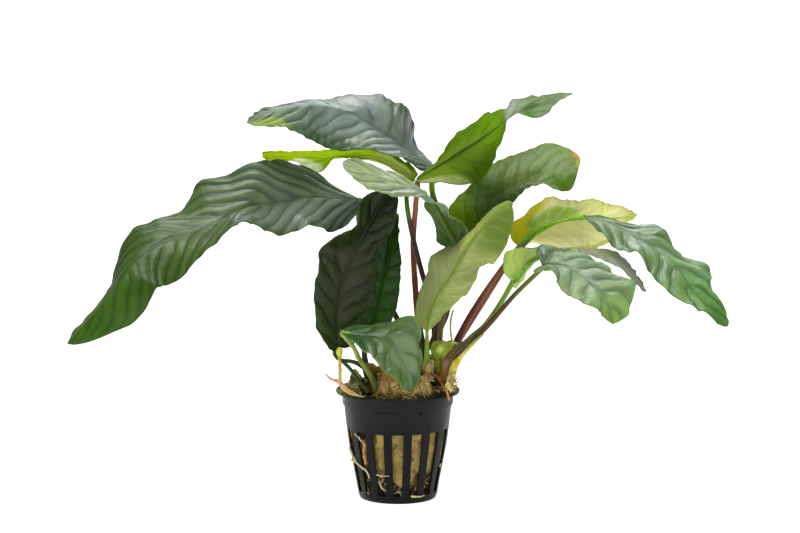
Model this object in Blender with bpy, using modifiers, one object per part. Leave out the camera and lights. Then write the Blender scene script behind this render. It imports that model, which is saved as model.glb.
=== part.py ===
"""Potted anubias: a slotted net pot, its fibre plug, and a fan of fourteen stalked leaves."""
import math

import bmesh
import bpy
import numpy as np

MM = 0.001
GAP = 0.3                    # clearance between pieces that touch, mm
STALK_GAP = 1.0              # clearance between the end of a stalk and its blade, mm

# Net pot, mm: outer radius of the slotted wall at each height, then of the rim band and the flange
POT_SIDE = [(17.2, 0.0), (19.4, 10.0), (20.8, 17.0), (22.3, 25.0), (23.1, 31.0), (24.3, 42.0)]
BAND_RADIUS = 25.1
BAND_BOTTOM = 42.4
FLANGE_RADIUS = 28.0
FLANGE_BOTTOM = 48.6
FLANGE_TOP = 49.4
POT_WALL = 1.0
POT_FLOOR = 1.4
POT_SEGMENTS = 32
SLOT_COUNT = 16
SLOT_BOTTOM = 3.5
SLOT_TOP = 32.6
SLOT_WIDTH_BOTTOM = 3.7
SLOT_WIDTH_TOP = 5.3
SLOT_CUT_INNER = 12.6        # the slot cutters reach from here to past the flange
FLOOR_SLOT_COUNT = 8
FLOOR_SLOT_INNER = 6.5
FLOOR_SLOT_OUTER = 14.0
FLOOR_SLOT_WIDTH = 2.6

# Fibre plug, mm: how it fits the pot, and the mounds on its top as (x, y, radius, rise)
PLUG_SEGMENTS = 26
PLUG_CLEARANCE = 0.5
PLUG_TOP = 49.0
PLUG_BOTTOM = 2.0
PLUG_SHOULDER = 47.0         # where the plug's side rounds over to its top
PLUG_FADE = 5.0              # width of the ring over which the top's lumps fade out
PLUG_RIPPLE = 0.012          # share of the radius by which the side is uneven
PLUG_TOP_RINGS = [0.0, 6.0, 11.0, 16.0, 20.0]
PLUG_MOUNDS = [(3.0, -14.0, 9.0, 5.0), (17.0, -12.0, 6.5, 7.0), (-17.0, 7.0, 8.0, 7.0), (8.0, 12.0, 9.0, 4.0)]
PLUG_LUMP = 0.7

# Creeping rhizome, mm: (x, y, z, radius) from its left crown to its right crown
RHIZOME = [(-15, -6, 50, 3.6), (-13, -6, 50, 5.0), (-10, -4, 51, 5.6), (-7, -3, 52, 4.8), (-4, -2, 53, 5.4),
           (-1, -1, 54, 4.8), (2, 0, 54, 5.6), (5, 1, 54, 5.1), (8, 1, 55, 6.0), (11, 1, 55, 5.6),
           (15, 0, 57, 7.2), (19, -1, 60, 7.8), (21, -1, 63, 7.0), (22, -1, 66, 5.4), (23, -1, 68, 3.0)]
# Buds, mm: (x, y, z), (radius across, radius along), lean to the right in degrees
BUDS = {
    "crown_bud": ((20, -9, 69), (2.9, 3.6), 20),
    "young_bud": ((-28, -14, 66), (1.2, 3.0), -8),
}
# Roots thick enough to be pieces of their own, mm: radius and route
ROOTS = {
    "root_over_left_rim": (0.9, [(-33, -8, 57), (-30, -10, 54), (-27, -13, 52), (-23, -16, 52),
                                 (-19, -20, 51), (-15, -24, 51)]),
    "root_hanging_left": (0.7, [(-28, -14, 62), (-27, -15, 59), (-26, -17, 56), (-25, -18, 53)]),
    "root_right_sheath": (1.6, [(33, -15, 73), (30, -16, 68), (27, -16, 63), (25, -16, 58), (22, -14, 53)]),
    "root_over_right_rim": (0.6, [(15, -14, 60), (18, -17, 57), (21, -19, 53.5), (21, -18, 51)]),
    "aerial_root": (0.6, [(25, -3, 82), (26, -4, 79), (26, -5, 75), (26, -6, 72)]),
}

LEAF_THICKNESS = 0.6
ROUTE_STEPS = 24             # fine steps between two points of a route
LEAF_ROWS = 12
LEAF_COLUMNS = 4
LEAF_BASE_HALF = 0.6
LEAF_TIP_HALF = 0.3
LEAF_CURL = 25               # degrees that each half bends between the rib and its edge
LOBE_LENGTH = 0.3            # share of the rib over which a lobe at the base fades out
LOBE_FADE = 1.5
RIB_STEP = 0.02              # share of the rib either side of a row, from which its direction is read
STALK_STEPS = 10
STALK_SWELL = 0.45           # how much thicker the sheathed foot of a stalk is
STALK_TAPER = 0.15           # how much thinner its upper end is
ROOT_TAPER = 0.45
BUD_TAPER = 0.35

# Leaves, mm and degrees. The rib and the stalk are routes, each from the foot up. The half width follows
# a smooth rule from its widest place. Each lean list turns one half of the blade about the rib, in even
# steps from base to tip: 0 faces the front, more leans its edge forwards and less leans it back.
# Right and left are those of someone who looks along the rib to the tip.
LEAVES = {
    "long_left": dict(
        rib=[(-17, 8, 135), (-27, 4, 136), (-41, 0, 137), (-54, -5, 135), (-67, -9, 133), (-80, -13, 127),
             (-93, -17, 123), (-105, -21, 119), (-117, -25, 111), (-127, -31, 97), (-142, -38, 78)],
        half=22, widest=0.42, fullness=1.1, lobe=0.1,
        lean_right=[-75, -52, -20, -40, -62, -54, -80, -88, -80],
        lean_left=[0, 45, 45, 86, 68, 27, 30, 0, 0],
        stalk=[(8, 6, 61), (4, 9, 71), (-2, 12, 83), (-10, 14, 99), (-16, 15, 115), (-18, 13, 127)],
        radius=1.3, gap=1.8),
    "upper_left": dict(
        rib=[(16, 28, 147), (9, 27, 152), (1, 25, 158), (-6, 22, 163), (-14, 19, 169), (-23, 15, 174),
             (-39, 8, 178), (-55, 1, 176), (-67, -6, 171)],
        half=22, widest=0.42, fullness=1.15, lobe=0.1,
        lean_right=[-85, -80, -32, -55, -82, -92, -90, -82, -70],
        lean_left=[78, 78, 76, 57, 30, 26, 36, 47, 45],
        stalk=[(16, 4, 69), (19, 4, 77), (22, 6, 84), (24, 8, 98), (22, 16, 120), (16, 23, 135)],
        radius=1.6, gap=1.4),
    "lime": dict(
        rib=[(7, 30, 142), (1, 33, 146), (-7, 36, 150), (-20, 40, 152), (-31, 43, 151), (-45, 46, 151),
             (-56, 48, 151), (-63, 50, 151)],
        half=14, widest=0.45, fullness=1.1, lobe=0.1,
        lean_right=[-80, -80, -82, -84, -82, -80, -80, -80, -80],
        lean_left=[75, 78, 80, 76, 80, 58, 78, 76, 76],
        stalk=[(17, 8, 64), (16, 10, 87), (12, 7, 98), (8, 6, 113), (5, 12, 126), (4, 20, 135), (6, 27, 140)],
        radius=1.1, gap=1.8),
    "arching": dict(
        rib=[(28, 4, 111), (26, 2, 117), (21, -4, 127), (17, -11, 136), (11, -17, 141), (2, -20, 145),
             (-8, -22, 148), (-17, -24, 152), (-24, -26, 155)],
        half=11, widest=0.5, fullness=1.0, lobe=0.1,
        lean_right=[30, 25, 30, 75, 105, 125, 130, 125, 120],
        lean_left=[-50, -40, -40, -80, -105, -125, -130, -125, -120],
        stalk=[(24, 0, 69), (26, 1, 82), (28, 4, 97)], radius=1.3),
    "upper_right": dict(
        rib=[(9, 10, 143), (19, 9, 151), (28, 8, 158), (37, 7, 163), (45, 6, 168), (49, 6, 171), (56, 5, 175),
             (66, 4, 179), (78, 3, 183)],
        half=14.5, widest=0.35, fullness=1.2, lobe=0.1,
        lean_right=[75, 50, 0, 12, 56, 86, 118, 115, 120],
        lean_left=[-90, -88, -74, -62, -60, -83, -122, -115, -110],
        stalk=[(12, 5, 63), (9, 8, 82), (7, 12, 112), (8, 12, 130)], radius=1.15),
    "broad_right": dict(
        rib=[(26, 14, 108), (29, 18, 119), (37, 22, 129), (47, 26, 135), (59, 30, 141), (68, 31, 145),
             (75, 31, 147), (81, 30, 148), (84, 29, 146)],
        half=17, widest=0.55, fullness=0.7, lobe=0.1,
        lean_right=[58, 44, 50, 64, 80, 85, 62, 40, 40],
        lean_left=[-43, -48, -46, -52, -33, -37, -40, -56, -55],
        stalk=[(21.5, 6.5, 66.5), (23, 12, 79), (26, 16, 93)], radius=1.3),
    "centre": dict(
        rib=[(13, -14, 79), (15, -15, 87), (19, -16, 96), (25, -17, 105), (30, -18, 115), (37, -20, 125),
             (45, -22, 133), (49, -24, 137)],
        half=14, widest=0.48, fullness=0.8, lobe=0.1,
        lean_right=[-62, -50, -42, -33, -42, 0, 0, 0, 0],
        lean_left=[-38, -48, -48, -33, -45, -82, -85, -76, -75],
        stalk=[(14, -8, 63), (14, -12, 70)], radius=1.0),
    "dark_front": dict(
        rib=[(-27, -10, 70), (-27, -10, 82), (-26, -9, 93), (-24, -8, 102), (-19, -6, 114), (-10, -5, 130),
             (-1, -4, 141)],
        half=16, widest=0.4, fullness=0.8, lobe=0.2,
        lean_right=[-35, -32, -22, -20, -20, -15, 0, 10, 10],
        lean_left=[62, 48, 47, 44, 15, 52, 58, 32, 55],
        stalk=[(-15.5, -8.5, 54.5), (-20, -12, 59), (-24, -12, 64), (-27, -11, 67)], radius=0.95),
    "dark_back": dict(
        rib=[(-15, 4, 69), (-11, 5, 80), (-8, 6, 94), (-5, 7, 106), (-3, 7, 117), (0, 8, 128)],
        half=11, widest=0.5, fullness=0.9, lobe=0.1,
        lean_right=[40, 30, 20, 25, 40, 50, 45, 45, 45],
        lean_left=[40, 20, 0, -8, -8, 0, 10, 20, 20],
        stalk=[(-13, -1, 56), (-15, 3, 63)], radius=1.2),
    "low_front": dict(
        rib=[(-25, -20, 79), (-17, -22, 78), (-9, -25, 78), (-3, -27, 75), (1, -29, 69), (4, -30, 63),
             (5, -29, 54)],
        half=13, widest=0.5, fullness=1.1, lobe=0.1,
        lean_right=[75, 70, 60, 52, 45, 42, 46, 56, 60],
        lean_left=[-78, -78, -75, -60, 0, -30, -42, -56, -55],
        stalk=[(-9, -9, 56), (-13, -11, 59), (-16, -13, 62), (-19, -15, 66), (-21, -17, 70), (-23, -19, 75)],
        radius=0.9, gap=1.3),
    "yellow": dict(
        rib=[(56, 22, 112), (63, 24, 118), (74, 27, 123), (86, 29, 124), (99, 31, 124), (110, 33, 125)],
        half=16.5, widest=0.5, fullness=0.9, lobe=0.5,
        lean_right=[-78, -70, -30, -10, -5, 0, -10, -50, -70],
        lean_left=[0, 8, 36, 38, 52, 53, 56, 62, 72],
        stalk=[(26, 5, 66), (35, 12, 80), (45, 17, 96), (52, 21, 107)], radius=1.3),
    "far_right": dict(
        rib=[(85, 12, 127), (96, 9, 124), (106, 5, 119), (113, 1, 115), (121, -4, 111), (127, -9, 104),
             (132, -14, 96), (140, -19, 88), (146, -22, 82)],
        half=13, widest=0.5, fullness=1.0, lobe=0.1,
        lean_right=[62, 54, 44, 70, 28, 30, 55, 72, 68],
        lean_left=[-80, -85, -68, -34, -80, -44, -30, -52, -58],
        stalk=[(28, 1, 67), (33, 3, 81), (40, 6, 93), (49, 9, 106), (55, 12, 113), (62, 14, 120),
               (73, 14, 124)], radius=1.4),
    "right_arch": dict(
        rib=[(52, -1, 99), (56, 3, 104), (61, 7, 108), (69, 10, 111), (80, 10, 113), (91, 6, 112),
             (100, 2, 108), (106, -2, 102), (111, -5, 95)],
        half=12, widest=0.4, fullness=0.8, lobe=0.3,
        lean_right=[-60, -60, -70, -80, -85, -100, -105, -105, -105],
        lean_left=[20, 20, 40, 65, 85, 100, 105, 105, 105],
        stalk=[(26.5, -5, 67), (31, -6, 73), (39, -6, 80), (46, -4, 89)], radius=1.5),
    "right_front": dict(
        rib=[(65, -12, 107), (71, -14, 111), (78, -17, 111), (83, -20, 108), (87, -23, 104), (90, -26, 97),
             (93, -28, 91), (95, -29, 84)],
        half=16.5, widest=0.45, fullness=0.9, lobe=0.2,
        lean_right=[0, 0, 0, 22, 15, 15, 52, 67, 72],
        lean_left=[-30, -72, -85, -76, -61, -34, 0, -5, -10],
        stalk=[(23, -10, 62), (30, -12, 69), (40, -11, 80), (52, -11, 94)], radius=1.25),
}

# Finishes: colour, roughness
FINISHES = {
    "pot_plastic": ((0.022, 0.022, 0.024), 0.45),
    "plug_fibre": ((0.30, 0.22, 0.11), 0.90),
    "rhizome_skin": ((0.20, 0.24, 0.07), 0.60),
    "root_skin": ((0.52, 0.36, 0.16), 0.65),
    "leaf_dark": ((0.030, 0.070, 0.018), 0.40),
    "leaf_sage": ((0.16, 0.27, 0.16), 0.40),
    "leaf_bright": ((0.17, 0.32, 0.04), 0.45),
    "leaf_yellow": ((0.56, 0.53, 0.16), 0.50),
    "stalk_brown": ((0.15, 0.06, 0.03), 0.45),
    "stalk_green": ((0.16, 0.22, 0.05), 0.45),
}
LEAF_FINISH = {
    "long_left": "leaf_sage", "upper_left": "leaf_sage", "lime": "leaf_bright", "arching": "leaf_sage",
    "upper_right": "leaf_bright", "broad_right": "leaf_sage", "centre": "leaf_bright",
    "dark_front": "leaf_dark", "dark_back": "leaf_dark", "low_front": "leaf_sage", "yellow": "leaf_yellow",
    "far_right": "leaf_sage", "right_arch": "leaf_sage", "right_front": "leaf_sage",
}
BROWN_STALKS = {"upper_left", "lime", "upper_right", "far_right", "right_front", "long_left", "yellow"}


def clear_scene():
    for thing in list(bpy.data.objects):
        bpy.data.objects.remove(thing, do_unlink=True)


def make_collection(name):
    group = bpy.data.collections.new(name)
    bpy.context.scene.collection.children.link(group)
    return group


def make_material(name):
    colour, roughness = FINISHES[name]
    material = bpy.data.materials.new(name)
    material.use_nodes = True
    shader = material.node_tree.nodes["Principled BSDF"]
    shader.inputs["Base Color"].default_value = (*colour, 1.0)
    shader.inputs["Roughness"].default_value = roughness
    shader.inputs["Metallic"].default_value = 0.0
    material.diffuse_color = (*colour, 1.0)
    return material


def add_object(name, data, group, material=None):
    thing = bpy.data.objects.new(name, data)
    group.objects.link(thing)
    if material:
        data.materials.append(material)
    return thing


def evaluated_mesh(thing):
    """The thing's mesh with its modifiers and its bevel made real."""
    bpy.context.view_layer.update()
    graph = bpy.context.evaluated_depsgraph_get()
    return bpy.data.meshes.new_from_object(thing.evaluated_get(graph))


def turned_mesh(profile, segments):
    """A mesh turned about Z from a profile of (radius, height) in mm."""
    outline = bpy.data.meshes.new("profile")
    points = [(radius * MM, 0.0, height * MM) for radius, height in profile]
    outline.from_pydata(points, [(i, i + 1) for i in range(len(points) - 1)], [])
    guide = bpy.data.objects.new("profile", outline)
    bpy.context.scene.collection.objects.link(guide)
    screw = guide.modifiers.new("turn", "SCREW")
    screw.steps = screw.render_steps = segments
    screw.use_merge_vertices = True
    screw.merge_threshold = 0.00005
    screw.use_normal_calculate = True
    mesh = evaluated_mesh(guide)
    bpy.data.objects.remove(guide, do_unlink=True)
    return mesh


def smooth_values(values, places):
    """Rows of numbers given at even steps from 0 to 1, read at the places from a smooth curve."""
    given = np.array(values, float)
    padded = np.vstack([2 * given[0] - given[1], given, 2 * given[-1] - given[-2]])
    position = np.clip(places, 0, 1) * (len(given) - 1)
    start = np.minimum(position.astype(int), len(given) - 2)
    u = (position - start)[:, None]
    before, here, there, after = (padded[start + step] for step in range(4))
    return 0.5 * (2 * here + (there - before) * u
                  + (2 * before - 5 * here + 4 * there - after) * u ** 2
                  + (3 * here - before - 3 * there + after) * u ** 3)


def smooth_route(points, places):
    """Points of a smooth curve through the route's own points, at shares of its length."""
    fine = smooth_values(points, np.linspace(0, 1, ROUTE_STEPS * (len(points) - 1) + 1))
    travelled = np.concatenate([[0], np.cumsum(np.linalg.norm(np.diff(fine, axis=0), axis=1))])
    shares = travelled / travelled[-1]
    return np.stack([np.interp(places, shares, fine[:, axis]) for axis in range(3)], 1)


def unit(vectors):
    return vectors / np.linalg.norm(vectors, axis=-1, keepdims=True)


def make_tube(name, route, radii, group, material):
    """A round tube with closed ends; route in mm, and one radius in mm for each of its points."""
    curve = bpy.data.curves.new(name, "CURVE")
    curve.dimensions = "3D"
    curve.bevel_depth = MM
    curve.bevel_resolution = 2
    curve.use_fill_caps = True
    spline = curve.splines.new("POLY")
    spline.points.add(len(route) - 1)
    for point, place, radius in zip(spline.points, route, radii):
        point.co = (*(value * MM for value in place), 1.0)
        point.radius = radius
    return add_object(name, curve, group, material)


def curve_to_mesh(thing, group):
    """Swap a curve object for a mesh object with welded caps."""
    mesh = evaluated_mesh(thing)
    shape = bmesh.new()
    shape.from_mesh(mesh)
    bmesh.ops.remove_doubles(shape, verts=shape.verts, dist=0.00001)
    shape.to_mesh(mesh)
    shape.free()
    name = thing.name
    place = thing.matrix_world.copy()
    bpy.data.objects.remove(thing, do_unlink=True)
    solid = add_object(name, mesh, group)
    solid.matrix_world = place
    return solid


def slot_cutters(cutters):
    """Wall slots that widen upwards, and radial slots in the floor, as one cutting mesh."""
    shape = bmesh.new()
    middle = (SLOT_TOP + SLOT_BOTTOM) / 2
    for number in range(SLOT_COUNT):
        angle = -math.pi / 2 + number * 2 * math.pi / SLOT_COUNT
        cube = bmesh.ops.create_cube(shape, size=1.0)["verts"]
        for vert in cube:
            width = SLOT_WIDTH_TOP if vert.co.z > 0 else SLOT_WIDTH_BOTTOM
            across = vert.co.y * width
            along = SLOT_CUT_INNER + (vert.co.x + 0.5) * (FLANGE_RADIUS + 1 - SLOT_CUT_INNER)
            height = middle + vert.co.z * (SLOT_TOP - SLOT_BOTTOM)
            vert.co = (along * math.cos(angle) - across * math.sin(angle),
                       along * math.sin(angle) + across * math.cos(angle), height)
    for number in range(FLOOR_SLOT_COUNT):
        angle = (number + 0.5) * 2 * math.pi / FLOOR_SLOT_COUNT
        cube = bmesh.ops.create_cube(shape, size=1.0)["verts"]
        for vert in cube:
            across = vert.co.y * FLOOR_SLOT_WIDTH
            along = FLOOR_SLOT_INNER + (vert.co.x + 0.5) * (FLOOR_SLOT_OUTER - FLOOR_SLOT_INNER)
            vert.co = (along * math.cos(angle) - across * math.sin(angle),
                       along * math.sin(angle) + across * math.cos(angle),
                       (vert.co.z * 2 + 0.5) * POT_FLOOR)
    for vert in shape.verts:
        vert.co *= MM
    mesh = bpy.data.meshes.new("slot_cutters")
    shape.to_mesh(mesh)
    shape.free()
    return hide_as_cutter(add_object("slot_cutters", mesh, cutters))


def hide_as_cutter(thing):
    thing.hide_render = True
    thing.display_type = "WIRE"
    return thing


def cut(thing, cutter):
    boolean = thing.modifiers.new("cut", "BOOLEAN")
    boolean.operation = "DIFFERENCE"
    boolean.solver = "EXACT"
    boolean.object = cutter


def pot_radius(height, outside=True):
    """The pot wall's radius at a height, outside or inside, mm."""
    radii, heights = zip(*POT_SIDE)
    return float(np.interp(height, heights, radii)) - (0.0 if outside else POT_WALL)


def make_pot(parts, cutters, material):
    inside = [(0.0, POT_FLOOR), (pot_radius(POT_FLOOR, False), POT_FLOOR)]
    inside += [(radius - POT_WALL, height) for radius, height in POT_SIDE[1:]]
    inside += [(BAND_RADIUS - POT_WALL, BAND_BOTTOM + POT_WALL), (BAND_RADIUS - POT_WALL, FLANGE_TOP)]
    rim = [(FLANGE_RADIUS, FLANGE_TOP), (FLANGE_RADIUS, FLANGE_BOTTOM), (BAND_RADIUS, FLANGE_BOTTOM),
           (BAND_RADIUS, BAND_BOTTOM)]
    profile = inside + rim + POT_SIDE[::-1] + [(0.0, 0.0)]
    pot = add_object("pot", turned_mesh(profile, POT_SEGMENTS), parts, material)
    pot.data.shade_smooth()
    pot.data.set_sharp_from_angle(angle=math.radians(35))
    cut(pot, slot_cutters(cutters))
    return pot


def plug_height(x, y):
    """Height of the plug's lumpy top at a place inside the pot, mm."""
    height = PLUG_TOP
    for mound_x, mound_y, radius, rise in PLUG_MOUNDS:
        distance = math.hypot(x - mound_x, y - mound_y) / radius
        height += rise * math.exp(-distance * distance)
    return height + PLUG_LUMP * math.sin(1.1 * x + 0.4) * math.cos(0.9 * y - 0.7)


def make_plug(parts, cutters, material):
    """The fibre block that fills the pot, hollowed where the rhizome lies on it."""
    side = [(pot_radius(height, False) - PLUG_CLEARANCE, height)
            for height in (PLUG_SHOULDER, 40.0, 28.0, 15.0, PLUG_BOTTOM)]
    profile = [(radius, PLUG_TOP) for radius in PLUG_TOP_RINGS] + side + [(0.0, PLUG_BOTTOM)]
    mesh = turned_mesh(profile, PLUG_SEGMENTS)
    for vert in mesh.vertices:
        x, y, z = (value / MM for value in vert.co)
        if z > PLUG_SHOULDER + 1:
            fade = min(1.0, (pot_radius(PLUG_SHOULDER, False) - math.hypot(x, y)) / PLUG_FADE)
            vert.co.z = (PLUG_TOP + (plug_height(x, y) - PLUG_TOP) * fade) * MM
        else:
            squeeze = 1 - PLUG_RIPPLE * (1 + math.sin(5 * math.atan2(y, x) + 0.3 * z))
            vert.co.x *= squeeze
            vert.co.y *= squeeze
    plug = add_object("plug", mesh, parts, material)
    plug.data.shade_smooth()
    route = np.array([point[:3] for point in RHIZOME], float)
    route[0] += unit(route[0] - route[1]) * 2 * GAP
    bed = make_tube("rhizome_bed", route, [point[3] + 2 * GAP for point in RHIZOME], cutters, None)
    cut(plug, hide_as_cutter(curve_to_mesh(bed, cutters)))
    return plug


def make_rhizome(parts, material):
    route = [point[:3] for point in RHIZOME]
    return make_tube("rhizome", route, [point[3] for point in RHIZOME], parts, material)


def make_bud(name, parts, material):
    """A pointed bud: a small sphere drawn out towards its tip."""
    place, (across, along), lean = BUDS[name]
    shape = bmesh.new()
    bmesh.ops.create_uvsphere(shape, u_segments=8, v_segments=6, radius=1.0)
    for vert in shape.verts:
        taper = 1 - BUD_TAPER * max(vert.co.z, 0)
        vert.co = (vert.co.x * across * taper * MM, vert.co.y * across * taper * MM, vert.co.z * along * MM)
    mesh = bpy.data.meshes.new(name)
    shape.to_mesh(mesh)
    shape.free()
    mesh.shade_smooth()
    bud = add_object(name, mesh, parts, material)
    bud.location = [value * MM for value in place]
    bud.rotation_euler = (0, math.radians(lean), 0)


def make_root(name, parts, material):
    radius, route = ROOTS[name]
    places = np.linspace(0, 1, 2 * len(route) - 1)
    radii = [radius * (1 - ROOT_TAPER * place) for place in places]
    make_tube(name, smooth_route(route, places), radii, parts, material)


def half_width(leaf, share):
    """Half the blade's width at a share of the rib's length, mm."""
    widest, fullness = leaf["widest"], leaf["fullness"]
    rise = (share / widest) ** (fullness * widest)
    fall = ((1 - share) / (1 - widest)) ** (fullness * (1 - widest))
    floor = LEAF_BASE_HALF if share < 0.5 else LEAF_TIP_HALF
    return max(leaf["half"] * rise * fall, floor)


def make_blade(name, parts, material):
    """A thin blade: a grid bent along its rib, leaned half by half, then given its thickness."""
    leaf = LEAVES[name]
    shape = bmesh.new()
    bmesh.ops.create_grid(shape, x_segments=LEAF_ROWS, y_segments=LEAF_COLUMNS, size=1.0)
    steps = np.arange(LEAF_ROWS + 1) / LEAF_ROWS
    shares = 0.5 * steps + 0.25 * (1 - np.cos(np.pi * steps))
    centres = smooth_route(leaf["rib"], shares)
    ahead = smooth_route(leaf["rib"], np.clip(shares + RIB_STEP, 0, 1))
    behind = smooth_route(leaf["rib"], np.clip(shares - RIB_STEP, 0, 1))
    along = unit(ahead - behind)
    front = np.array([0, -1.0, 0])
    forward = unit(front - (along @ front)[:, None] * along)
    aside = np.cross(along, forward)
    leans = {}
    for side, key in ((1, "lean_right"), (-1, "lean_left")):
        leans[side] = np.radians(smooth_values([(number,) for number in leaf[key]], shares)[:, 0])
    curl = math.radians(LEAF_CURL)
    for vert in shape.verts:
        row = round((vert.co.x + 1) / 2 * LEAF_ROWS)
        out = abs(vert.co.y)
        side = 1 if vert.co.y > 0 else -1
        width = half_width(leaf, shares[row])
        start = leans[side][row] + curl / 2
        reach = width * (math.sin(start) - math.sin(start - curl * out)) / curl
        rise = width * (math.cos(start - curl * out) - math.cos(start)) / curl
        back = leaf["lobe"] * width * out ** 2 * max(0.0, 1 - shares[row] / LOBE_LENGTH) ** LOBE_FADE
        vert.co = (centres[row] + side * reach * aside[row] + rise * forward[row] - back * along[row]) * MM
    mesh = bpy.data.meshes.new("leaf_" + name)
    shape.to_mesh(mesh)
    shape.free()
    mesh.shade_smooth()
    blade = add_object("leaf_" + name, mesh, parts, material)
    solidify = blade.modifiers.new("thickness", "SOLIDIFY")
    solidify.thickness = LEAF_THICKNESS * MM
    solidify.offset = 0.0


def make_stalk(name, parts, material):
    """A stalk from the crown to just short of its blade, thicker at its sheathed foot."""
    leaf = LEAVES[name]
    base = np.array(leaf["rib"][0], float)
    end = base - unit(base - np.array(leaf["stalk"][-1], float)) * leaf.get("gap", STALK_GAP)
    route = leaf["stalk"] + [tuple(end)]
    places = np.linspace(0, 1, STALK_STEPS)
    radii = [leaf["radius"] * (1 + STALK_SWELL * (1 - place) ** 6 - STALK_TAPER * place) for place in places]
    make_tube("stalk_" + name, smooth_route(route, places), radii, parts, material)


def main():
    clear_scene()
    parts = make_collection("potted_anubias")
    cutters = make_collection("cutters")
    finish = {name: make_material(name) for name in FINISHES}
    make_pot(parts, cutters, finish["pot_plastic"])
    make_rhizome(parts, finish["rhizome_skin"])
    make_plug(parts, cutters, finish["plug_fibre"])
    for name in BUDS:
        make_bud(name, parts, finish["rhizome_skin"])
    for name in ROOTS:
        make_root(name, parts, finish["root_skin"])
    for name in LEAVES:
        make_blade(name, parts, finish[LEAF_FINISH[name]])
        stalk_finish = "stalk_brown" if name in BROWN_STALKS else "stalk_green"
        make_stalk(name, parts, finish[stalk_finish])


main()
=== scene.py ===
import math
import bpy
import numpy as np
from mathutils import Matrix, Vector, noise


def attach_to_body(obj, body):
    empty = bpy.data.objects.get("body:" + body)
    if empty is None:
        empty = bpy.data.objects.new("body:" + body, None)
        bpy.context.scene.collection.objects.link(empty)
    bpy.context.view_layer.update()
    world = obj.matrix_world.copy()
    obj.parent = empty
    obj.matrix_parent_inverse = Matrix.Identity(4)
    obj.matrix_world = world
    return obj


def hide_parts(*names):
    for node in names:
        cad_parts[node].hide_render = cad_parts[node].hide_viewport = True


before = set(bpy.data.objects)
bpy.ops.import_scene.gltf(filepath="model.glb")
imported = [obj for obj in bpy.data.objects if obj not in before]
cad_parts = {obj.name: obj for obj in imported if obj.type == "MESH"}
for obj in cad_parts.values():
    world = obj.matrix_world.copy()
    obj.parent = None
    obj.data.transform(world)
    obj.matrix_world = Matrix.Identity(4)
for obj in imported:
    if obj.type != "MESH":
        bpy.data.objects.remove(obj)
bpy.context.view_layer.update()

mm = 0.001
front = np.array([0.0, -1.0, 0.0])


# Colours

def tone(red, green, blue):            # a colour as a photo shows it, 0 to 255, made linear
    parts = []
    for value in (red / 255, green / 255, blue / 255):
        parts.append(value / 12.92 if value < 0.04 else ((value + 0.055) / 1.055) ** 2.4)
    return (*parts, 1.0)


def metres(place):                     # a place given in mm, as shaders read it
    return tuple(value * mm for value in place)


def lump(place, scale, octaves):       # cloudy values between about -1 and 1, always the same at a place
    return noise.fractal(Vector(place) * scale, 1.0, 2.0, octaves)


# Shaders

class Value:                           # wraps a socket, so that shader maths reads as Python
    def __init__(self, shader, socket):
        self.shader = shader
        self.socket = socket

    def __add__(self, other):
        return self.shader.maths("ADD", self, other)

    def __sub__(self, other):
        return self.shader.maths("SUBTRACT", self, other)

    def __rsub__(self, other):
        return self.shader.maths("SUBTRACT", other, self)

    def __mul__(self, other):
        return self.shader.maths("MULTIPLY", self, other)

    def __truediv__(self, other):
        return self.shader.maths("DIVIDE", self, other)

    def __pow__(self, other):
        return self.shader.maths("POWER", self, other)

    __radd__ = __add__
    __rmul__ = __mul__


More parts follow.
